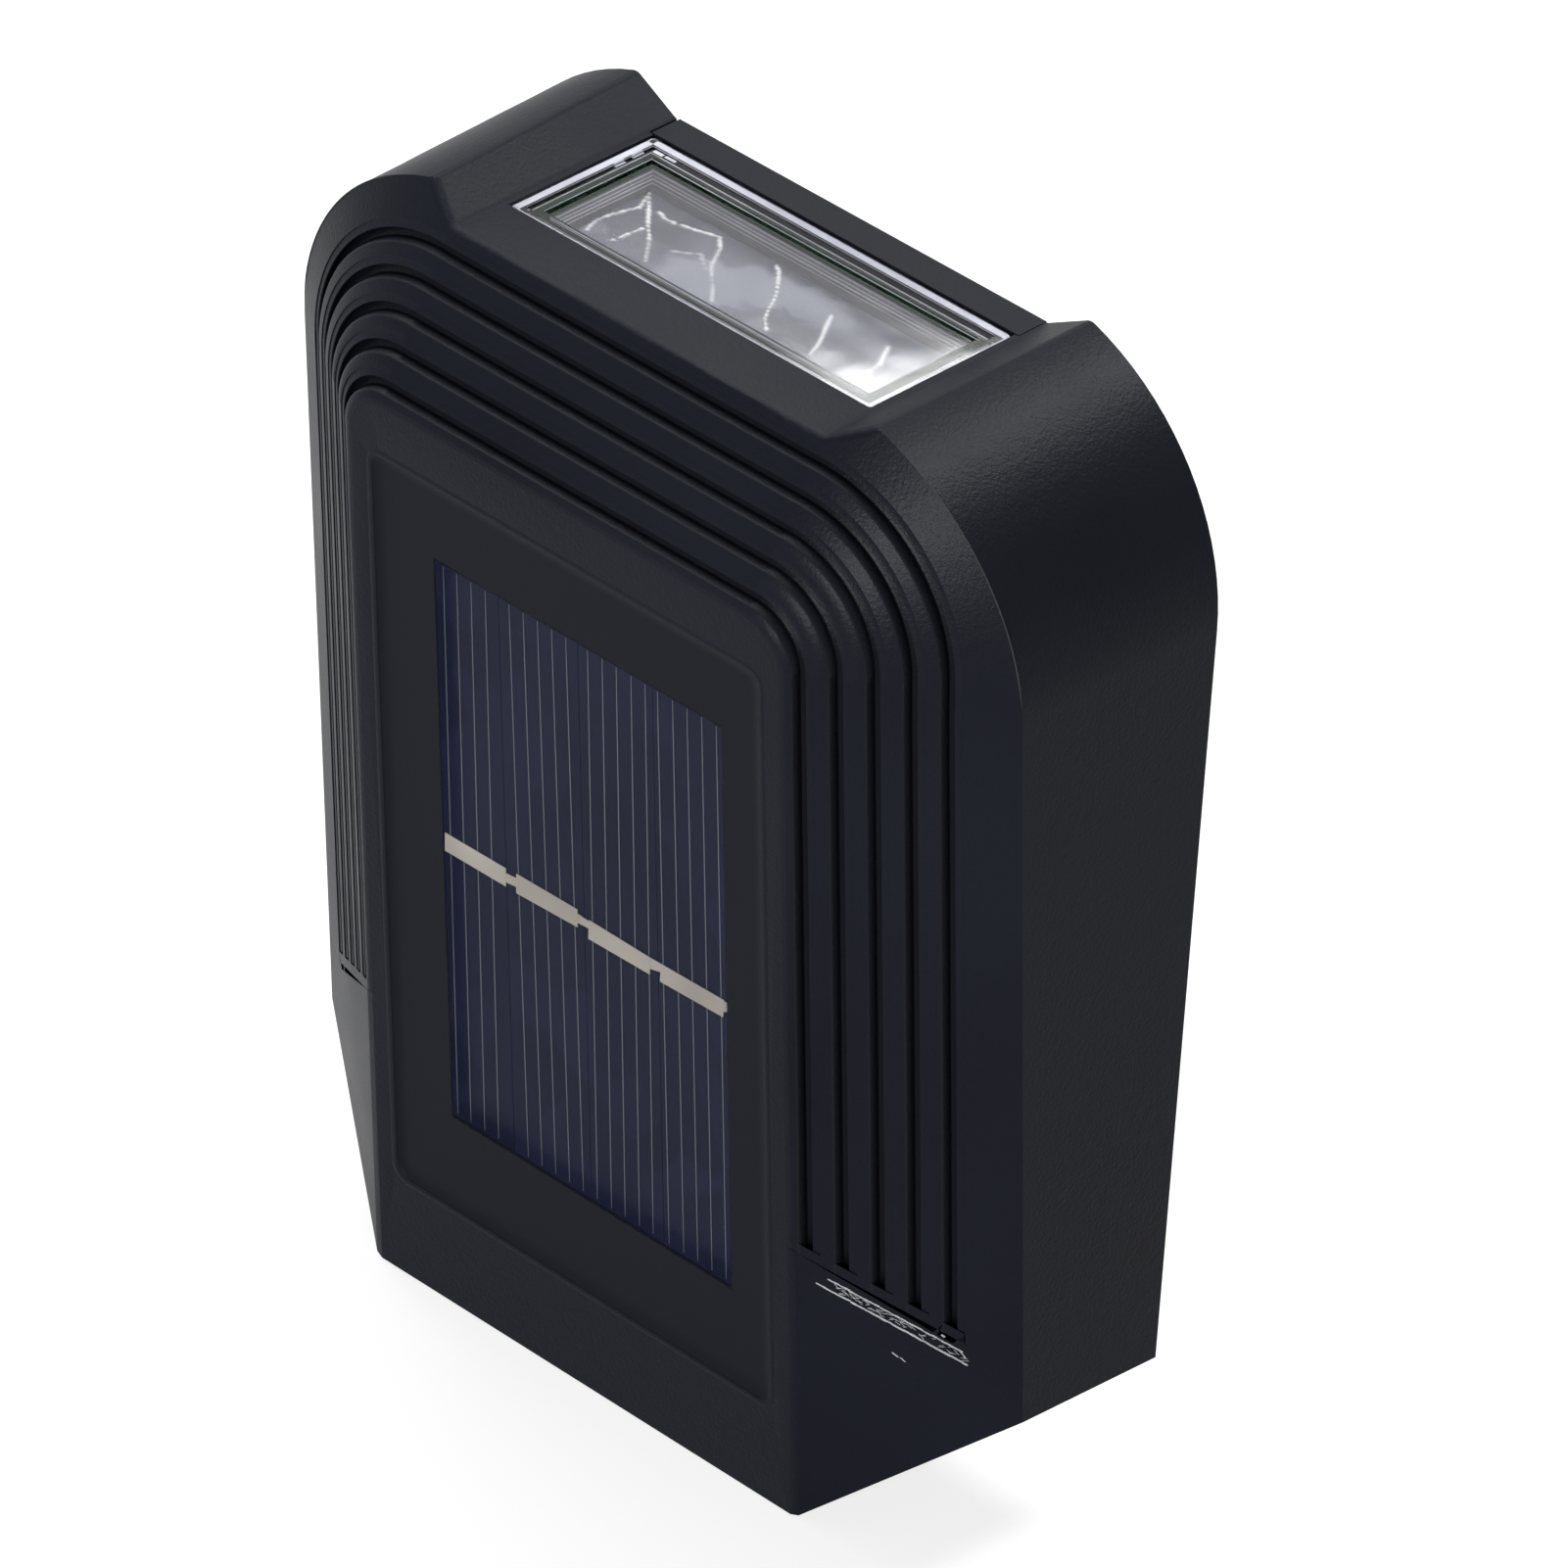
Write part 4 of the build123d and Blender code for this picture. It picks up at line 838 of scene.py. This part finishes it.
def panelPlate():  # matte resin surface of the panel, rounded down from the pocket's edge
    size = plateSizes
    plate = roundedPlate("panel_plate", size)
    bpy.ops.transform.translate(value=(0, 0, -size["rim"][0][1] * mm))
    for (inA, downA), (inB, downB) in zip(size["rim"], size["rim"][1:]):
        bpy.ops.mesh.inset(thickness=(inB - inA) * mm, depth=0)
        bpy.ops.transform.translate(value=(0, 0, -(downB - downA) * mm))
    bpy.ops.object.mode_set(mode="OBJECT")
    standOnFace(plate, size)
    left, right, low, high = size["window"]
    soft = size["windowSoft"]
    cuts = [(x, "x") for x in (left - soft, left, right, right + soft)]
    cuts += [(up, "up") for up in (low - soft, low, high, high + soft)]
    pick(plate)
    bpy.ops.object.mode_set(mode="EDIT")
    for place, way in cuts:
        bpy.ops.mesh.select_all(action="SELECT")
        point = onFace(place, 0, 0) if way == "x" else onFace(0, 0, place)
        direction = faceFrame.to_3x3() @ Vector((1, 0, 0) if way == "x" else (0, 0, 1))
        bpy.ops.mesh.bisect(plane_co=point, plane_no=direction, threshold=0.0001 * mm)
    bpy.ops.object.mode_set(mode="OBJECT")
    clear = []
    for vertex in plate.data.vertices:
        x, depth, up = toFace(vertex.co)
        clear.append(1.0 if left - 0.01 < x < right + 0.01 and low - 0.01 < up < high + 0.01 else 0.0)
    paintPoints(plate, "clear", clear)
    shadeSoftly(plate, 50.0)
    return plate


plate = panelPlate()
plate.visible_shadow = False  # the clear resin lets the light through to the cells
plate.visible_diffuse = False
finishPiece(plate, materials["panel_skin"], ["panel_resin"])
print("panel surface done")

cellSizes = {"edges": ((-15.6, -8.62), (-8.60, 0.08), (0.10, 8.22), (8.24, 16.2)), "low": 18.5, "high": 73.9,
             "front": 1.3, "thick": 0.25, "bevel": 0.04}


def cellStrip(left, right):  # one strip of silicon with softened edges
    size = cellSizes
    strip = startCube()
    strip.scale = ((right - left) * mm, size["thick"] * mm, (size["high"] - size["low"]) * mm)
    applyPlace(strip)
    softenEdges(size["bevel"] * mm)
    middle = Vector(((left + right) / 2, size["front"] + size["thick"] / 2, (size["low"] + size["high"]) / 2)) * mm
    strip.data.transform(faceFrame @ Matrix.Translation(middle))
    return strip


strips = joinAll([cellStrip(left, right) for left, right in cellSizes["edges"]], "cell_strips")
finishPiece(strips, materials["solar_cell"], ["solar_cells"])
print("cells done")

fingerLook = {**ribbonLook, "dark": (0.036, 0.038, 0.047), "light": (0.050, 0.053, 0.064), "metallic": 0.1}
materials["finger_silver"] = metalSurface("fingerSilver", fingerLook)
fingerSizes = {
    "places": (  # where each strip's lines cross its middle, and how far they lean
        (0.0069, (-14.84, -13.35, -11.78, -10.20)), (-0.0067, (-7.20, -5.65, -4.09, -2.53, -0.98)),
        (0.0080, (1.00, 2.59, 4.12, 5.72, 7.25)), (0.0, (8.81, 10.44, 12.00, 13.58, 15.15)),
    ),
    "width": 0.11, "thick": 0.03, "low": 18.9, "high": 73.8, "cellDepth": 1.3,
}


def fingerLine():  # one printed line, later copied
    size = fingerSizes
    line = startCube()
    softenEdges(0.22)
    line.data.transform(Matrix.Diagonal((size["width"] * mm, size["thick"] * mm,
                                         (size["high"] - size["low"]) * mm, 1)))
    return line


firstFinger = fingerLine()
fingers = []
fingerDepth = fingerSizes["cellDepth"] - fingerSizes["thick"] / 2
fingerMiddle = (fingerSizes["low"] + fingerSizes["high"]) / 2
for lean, places in fingerSizes["places"]:
    for place in places:
        pick(firstFinger)
        bpy.ops.object.duplicate()
        spot = Matrix.Translation(Vector((place, fingerDepth, fingerMiddle)) * mm)
        bpy.context.object.data.transform(faceFrame @ spot @ Matrix.Rotation(lean, 4, "Y"))
        fingers.append(bpy.context.object)
bpy.data.objects.remove(firstFinger)
fingers = joinAll(fingers, "finger_lines")
finishPiece(fingers, materials["finger_silver"])
print("finger lines done")

ribbonSizes = {
    "front": 1.2, "thick": 0.1, "bevel": 0.03,
    "shapes": (  # top left, low left, top right, low right, how much deeper
        ((-15.40, 47.24), (-15.47, 45.39), (-8.55, 47.31), (-8.61, 45.46), 0.0),
        ((-8.80, 46.79), (-8.80, 45.85), (-7.20, 46.96), (-7.20, 46.06), 0.02),
        ((-7.40, 47.42), (-7.47, 45.43), (-0.57, 47.51), (-0.62, 45.70), 0.0),
        ((-0.80, 47.09), (-0.80, 46.12), (0.80, 46.98), (0.80, 46.25), 0.02),
        ((0.67, 47.15), (0.54, 45.20), (7.40, 47.05), (7.36, 45.32), 0.0),
        ((7.20, 47.03), (7.20, 45.84), (8.80, 47.07), (8.80, 46.27), 0.02),
        ((8.61, 47.09), (8.45, 45.24), (15.55, 47.24), (15.40, 45.46), 0.0),
        ((15.40, 47.07), (15.40, 45.97), (16.00, 47.18), (16.00, 46.35), 0.02),
    ),
}


def ribbonPiece(topLeft, lowLeft, topRight, lowRight, deeper):  # one hand-laid piece of tinned ribbon
    size = ribbonSizes
    ribbon = startCube()
    for vertex in ribbon.data.vertices:
        x, y, z = vertex.co
        corner = (topRight if z > 0 else lowRight) if x > 0 else (topLeft if z > 0 else lowLeft)
        vertex.co = onFace(corner[0], size["front"] + deeper + (y + 0.5) * size["thick"], corner[1])
    softenEdges(size["bevel"] * mm)
    return ribbon


ribbons = joinAll([ribbonPiece(*shape) for shape in ribbonSizes["shapes"]], "ribbon_pieces")
finishPiece(ribbons, materials["tinned_ribbon"], ["cell_ribbons"])
print("ribbons done")

lensSizes = {"box": 18.35, "back": -3.4, "front": -19.1}
sleeveSizes = {"gap": 0.06, "inset": 0.94, "low": 34.6, "high": 40.6, "thick": 0.05}
sleeveLook = {**housingLook, "dark": (0.085, 0.084, 0.125), "light": (0.150, 0.149, 0.200), "grainStrength": 0.2,
              "roughLow": 0.4, "roughHigh": 0.5, "specular": 0.2, "dust": 0.0}
materials["pale_sleeve"] = mouldedPlastic("paleSleeve", sleeveLook)


def squareTube(name, half, front, back, low, high, thick):  # thin upright walls round the lens box
    deselectAll()
    bpy.ops.mesh.primitive_cube_add(size=1, location=(0, (front + back) / 2 * mm, (low + high) / 2 * mm))
    tube = bpy.context.object
    tube.name = name
    tube.data.name = name
    tube.scale = (2 * half * mm, (back - front) * mm, (high - low) * mm)
    applyPlace(tube)
    for face in tube.data.polygons:
        face.select = abs(face.normal.z) > 0.5
    bpy.ops.object.mode_set(mode="EDIT")
    bpy.ops.mesh.delete(type="FACE")
    bpy.ops.mesh.select_all(action="SELECT")
    bpy.ops.mesh.subdivide(number_cuts=3)
    bpy.ops.object.mode_set(mode="OBJECT")
    bpy.ops.object.modifier_add(type="SOLIDIFY")
    tube.modifiers[-1].thickness = thick * mm
    tube.modifiers[-1].offset = 0
    bpy.ops.object.modifier_apply(modifier=tube.modifiers[-1].name)
    return tube


sleeve = squareTube("pale_sleeve", lensSizes["box"] + sleeveSizes["gap"], lensSizes["front"] + sleeveSizes["inset"],
                    lensSizes["back"] - sleeveSizes["inset"], sleeveSizes["low"], sleeveSizes["high"],
                    sleeveSizes["thick"])
finishPiece(sleeve, materials["pale_sleeve"])
print("lens sleeve done")

# painted highlight: pale strips along the lens's rims, steps and corners stand in for the bright light carried by
# its clear edges
lensRimHighlightLook = {**sleeveLook, "dark": (0.22, 0.23, 0.27), "light": (0.52, 0.53, 0.58), "grainScale": 700.0,
             "grainStrength": 0.5, "roughLow": 0.35, "roughHigh": 0.55}
materials["frosted_edge"] = mouldedPlastic("lensRimHighlightPaint", lensRimHighlightLook)
lensRimHighlightSizes = {
    "rim": (  # left, right, front, back
        (-19.2, 19.25, -4.08, -3.47), (-19.28, -18.66, -19.0, -3.47),
        (-19.2, 19.2, -19.04, -18.86), (19.12, 19.27, -19.0, -3.5),
    ),
    "steps": ((-18.3, 18.3, -4.62, -4.52), (-18.42, -18.32, -18.2, -4.5)),
    "patches": ((-18.2, -17.2, -4.6, -4.15), (-18.95, -18.45, -6.4, -5.2), (-17.0, -15.9, -4.5, -4.1),
                (-18.9, -18.4, -8.4, -7.3)),
    "heights": {"rim": (41.93, 0.1), "steps": (41.3, 0.08), "patches": (41.72, 0.08)},  # level, thickness
}


def bevelledStrip(left, right, front, back, level, thick):  # a flat strip, lying level
    strip = startCube()
    strip.scale = ((right - left) * mm, (back - front) * mm, thick * mm)
    strip.location = ((left + right) / 2 * mm, (front + back) / 2 * mm, level * mm)
    applyPlace(strip)
    softenEdges(0.3 * min(thick, right - left, back - front) * mm)
    return strip


# the painted highlight strips, one by one
frost = [bevelledStrip(*row, *height) for kind, height in lensRimHighlightSizes["heights"].items() for row in lensRimHighlightSizes[kind]]
finishPiece(joinAll(frost, "frosted_edges"), materials["frosted_edge"])
print("frosted edges done")

# painted highlight: pale rings standing in for the bright lines that the lens's stepped walls show by refraction
wallGlintLook = {**sleeveLook, "dark": (0.33, 0.33, 0.38), "light": (0.52, 0.52, 0.57)}
materials["wall_glint_line"] = mouldedPlastic("wallGlintPaint", wallGlintLook)
wallGlintSizes = {"levels": ((40.45, 0.10), (40.05, 0.05), (39.72, 0.12), (39.35, 0.05)), "half": 17.08,
                 "front": -16.93, "back": -5.57, "thick": 0.06}
wallGlintLines = [squareTube("wall_glint_line", wallGlintSizes["half"], wallGlintSizes["front"], wallGlintSizes["back"],
                        level - tall / 2, level + tall / 2, wallGlintSizes["thick"])
             for level, tall in wallGlintSizes["levels"]]
finishPiece(joinAll(wallGlintLines, "wall_glint_lines"), materials["wall_glint_line"])
print("wall lines done")

filmSizes = {
    "half": 16.75, "front": -16.3, "back": -6.1, "level": 38.85, "columns": 190, "rows": 62,
    "folds": 26, "foldHeight": 0.16, "creaseHeight": 0.16, "creaseWidth": 0.16, "thick": 0.03, "smoothAngle": 35,
    "creases": (
        (1.0, ((-16.0, -14.0), (-16.5, -12.0), (-15.6, -8.4), (-16.6, -6.4))),
        (1.0, ((-16.8, -6.2), (-15.2, -7.9), (-11.7, -11.4))),
        (0.35, ((-11.7, -11.4), (-9.6, -13.8))),
        (1.0, ((-14.4, -7.7), (-12.75, -8.2), (-10.4, -7.7), (-8.4, -6.95), (-7.2, -8.0))),
        (0.45, ((-7.2, -8.0), (-6.0, -10.2), (-2.2, -14.0))),
        (1.0, ((-2.6, -6.6), (-1.6, -7.2), (0.16, -9.3), (2.2, -12.7), (3.5, -13.95))),
        (0.9, ((5.3, -8.6), (7.2, -11.7), (8.15, -14.0))),
        (0.9, ((11.3, -8.6), (12.7, -10.9), (13.0, -12.7), (13.2, -14.2))),
        (0.7, ((-13.5, -13.5), (-13.1, -10.6))),
        (0.3, ((-9.5, -11.5), (-7.5, -9.8), (-5.9, -11.0))),
    ),
    "palePatches": ((-4.5, -12.5, 4.2, 3.0, 1.0), (-1.5, -10.0, 3.4, 2.6, 0.9), (3.2, -8.6, 4.2, 2.0, 0.8),
                    (10.5, -9.4, 3.2, 1.2, 0.35), (-15.8, -13.2, 0.9, 1.4, 0.5)),
    "darkPatches": ((-12.0, -10.0, 3.2, 3.2, 0.7), (4.5, -12.8, 2.4, 1.6, 0.8), (12.3, -12.4, 2.6, 2.4, 0.6)),
}
# crease is a painted highlight colour for the film's fold lines
filmTones = {"grey": (0.038, 0.039, 0.060), "pale": (0.135, 0.142, 0.172), "dark": (0.018, 0.019, 0.030),
             "crease": (0.62, 0.62, 0.61), "roughness": 0.42, "specular": 0.14, "grainScale": 900.0, "swell": 1.0,
             "grainStrength": 0.25, "grainDepth": 0.0001, "patchScale": 420.0, "patchShare": 0.35}


def crumpledFilm(name, look):
    material, tree, shader = newMaterial(name)
    grain = useGrain(tree, look)
    tone = mixColour(tree, attributeNode(tree, "dark"), look["grey"], look["dark"])
    tone = mixColour(tree, attributeNode(tree, "pale"), tone, look["pale"])
    blotches = noiseNode(tree, objectCoords(tree), look["patchScale"], 4.0, 0.6)
    patchy = mapTo(tree, blotches, 0.0, look["patchShare"], 0.45, 0.75)
    tone = mixColour(tree, patchy, tone, look["pale"])
    # painted highlight along the fold lines
    tone = mixColour(tree, attributeNode(tree, "crease"), tone, look["crease"])
    tree.links.new(tone, shader.inputs["Base Color"])
    tree.links.new(mapTo(tree, grain.outputs["Smudge"], look["roughness"] * 0.8, look["roughness"] * 1.2),
                   shader.inputs["Roughness"])
    grainBump(tree, grain, shader, look)
    shader.inputs["Specular IOR Level"].default_value = look["specular"]
    return material


materials["crumpled_film"] = crumpledFilm("crumpledFilm", filmTones)


def nearPath(x, y, path):  # distance from a point to a line of points
    best = 1e9
    for (ax, ay), (bx, by) in zip(path, path[1:]):
        dx, dy = bx - ax, by - ay
        share = max(0.0, min(1.0, ((x - ax) * dx + (y - ay) * dy) / (dx * dx + dy * dy)))
        best = min(best, hypot(x - ax - share * dx, y - ay - share * dy))
    return best


def patchAt(x, y, patches):  # how far a point lies in any of the patches, from 0 to 1
    value = 0.0
    for px, py, rx, ry, strength in patches:
        d = hypot((x - px) / rx, (y - py) / ry)
        value = max(value, strength * max(0.0, min(1.0, (1.15 - d) / 0.3)))
    return value


def lightFilm():  # crumpled film over the reflector's mouth
    size = filmSizes
    random.seed(11)
    folds = []
    for i in range(size["folds"]):
        turn = random.uniform(0, pi)
        centre = (random.uniform(-size["half"], size["half"]), random.uniform(size["front"], size["back"]))
        folds.append((cos(turn), sin(turn), centre, random.uniform(0.3, 1.0), random.uniform(1.2, 3.2)))
    points = []
    foldHighlightShare = []
    pale = []
    dark = []
    for row in range(size["rows"]):
        for column in range(size["columns"]):
            x = size["half"] * (2 * column / (size["columns"] - 1) - 1)
            y = size["front"] + (size["back"] - size["front"]) * row / (size["rows"] - 1)
            height = 0.0
            for ca, sa, centre, weight, spread in folds:
                across = (x - centre[0]) * ca + (y - centre[1]) * sa
                along = (y - centre[1]) * ca - (x - centre[0]) * sa
                height += weight * max(0.0, 1 - abs(across) / spread) * max(0.0, 1 - abs(along) / 5.0)
            height = size["foldHeight"] * min(height, 2.2)
            share = 0.0
            for strength, path in size["creases"]:
                wander = 0.06 * sin(5.1 * x + 3.3 * y) + 0.05 * sin(9.7 * y - 4.0 * x)
                near = abs(nearPath(x, y, path) + wander)
                share = max(share, strength * max(0.0, 1 - near / size["creaseWidth"]))
            height += size["creaseHeight"] * share
            points.append(Vector((x * mm, y * mm, (size["level"] + height) * mm)))
            # how strongly each point takes the painted fold highlight
            foldHighlightShare.append(min(1.0, 1.6 * share))
            pale.append(patchAt(x + 0.3 * sin(3 * y), y + 0.3 * sin(2.3 * x), size["palePatches"]))
            dark.append(patchAt(x + 0.4 * sin(2 * y), y + 0.3 * sin(2.9 * x), size["darkPatches"]))
    film = pointGrid("light_film", size["columns"], size["rows"], lambda c, r: points[r * size["columns"] + c])
    paintPoints(film, "crease", foldHighlightShare)
    paintPoints(film, "pale", pale)
    paintPoints(film, "dark", dark)
    pick(film)
    bpy.ops.object.modifier_add(type="SOLIDIFY")
    film.modifiers[-1].thickness = size["thick"] * mm
    bpy.ops.object.modifier_apply(modifier=film.modifiers[-1].name)
    bpy.ops.object.shade_smooth_by_angle(angle=radians(size["smoothAngle"]))
    return film


film = lightFilm()
finishPiece(film, materials["crumpled_film"])
print("light film done")

photoCamera = {
    "place": (0.6032, -0.66966, 0.59065),
    "turn": (56.2327, -3.0577, 44.2552),
    "lens": 312.71,
    "sensor": 36.0,
}
deselectAll()
bpy.ops.object.camera_add(location=photoCamera["place"],
                          rotation=[radians(angle) for angle in photoCamera["turn"]])
camera = bpy.context.object
camera.name = "photo_camera"
camera.data.lens = photoCamera["lens"]
camera.data.sensor_width = photoCamera["sensor"]
camera.data.clip_start = 0.05
camera.data.clip_end = 20.0
bpy.context.scene.camera = camera

studio = {
    "floorSize": 6.0,
    "floorColour": (0.82, 0.82, 0.82),
    "floorGlow": 0.75,
    "floorGap": 0.0002,
    "floorRoughness": 0.9,
    "worldLevel": 0.30,
    "topPower": 18.0,
    "topSize": 0.9,
    "topPlace": (-0.45, 0.2, 0.88),
    "frontPower": 22.0,
    "frontSize": 0.22,
    "frontPlace": (0.22, -1.15, 0.24),
    "rimPower": 14.0,
    "rimSize": 0.25,
    "rimPlace": (0.25, 0.65, 0.90),
}


def seenDirectly(tree):  # 1 for camera, glossy and transmission rays
    path = tree.nodes.new("ShaderNodeLightPath")
    either = mathNode(tree, "MAXIMUM", path.outputs["Is Camera Ray"], path.outputs["Is Glossy Ray"])
    return mathNode(tree, "MAXIMUM", either, path.outputs["Is Transmission Ray"])


deselectAll()
bpy.ops.mesh.primitive_plane_add(size=studio["floorSize"], location=(0, 0, cadBox[0].z - studio["floorGap"]))
floor = bpy.context.object
floor.name = "floor"
floorMaterial, floorTree, floorShader = newMaterial("paleFloor")
floorShader.inputs["Base Color"].default_value = (*studio["floorColour"], 1.0)
floorShader.inputs["Roughness"].default_value = studio["floorRoughness"]
floorShader.inputs["Specular IOR Level"].default_value = 0.0
glow = floorTree.nodes.new("ShaderNodeEmission")
blendShaders = floorTree.nodes.new("ShaderNodeMixShader")
floorTree.links.new(mathNode(floorTree, "MULTIPLY", seenDirectly(floorTree), studio["floorGlow"]),
                    blendShaders.inputs[0])
floorTree.links.new(floorShader.outputs[0], blendShaders.inputs[1])
floorTree.links.new(glow.outputs[0], blendShaders.inputs[2])
floorTree.links.new(blendShaders.outputs[0], floorTree.nodes["Material Output"].inputs["Surface"])
floor.data.materials.append(floorMaterial)

world = bpy.data.worlds.new("studioWorld")
bpy.context.scene.world = world
world.use_nodes = True
worldTree = world.node_tree
worldTree.nodes.clear()
lightSky = worldTree.nodes.new("ShaderNodeBackground")
lightSky.inputs["Color"].default_value = (1, 1, 1, 1)
lightSky.inputs["Strength"].default_value = studio["worldLevel"]
whiteSky = worldTree.nodes.new("ShaderNodeBackground")
whiteSky.inputs["Color"].default_value = (1, 1, 1, 1)
whiteSky.inputs["Strength"].default_value = 1.0
skyMix = worldTree.nodes.new("ShaderNodeMixShader")
worldTree.links.new(seenDirectly(worldTree), skyMix.inputs[0])
worldTree.links.new(lightSky.outputs[0], skyMix.inputs[1])
worldTree.links.new(whiteSky.outputs[0], skyMix.inputs[2])
worldOut = worldTree.nodes.new("ShaderNodeOutputWorld")
worldTree.links.new(skyMix.outputs[0], worldOut.inputs["Surface"])


def softBox(name, place, size, power):  # a square lamp that looks at the middle of the piece
    deselectAll()
    bpy.ops.object.light_add(type="AREA", location=place)
    lamp = bpy.context.object
    lamp.name = name
    lamp.data.size = size
    lamp.data.energy = power
    lamp.rotation_euler = (-Vector(place)).to_track_quat("-Z", "Y").to_euler()
    return lamp


softBox("top_light", studio["topPlace"], studio["topSize"], studio["topPower"])
softBox("front_light", studio["frontPlace"], studio["frontSize"], studio["frontPower"])
softBox("rim_light", studio["rimPlace"], studio["rimSize"], studio["rimPower"])
bpy.context.scene.view_settings.view_transform = "Standard"
print("camera, floor and light done")
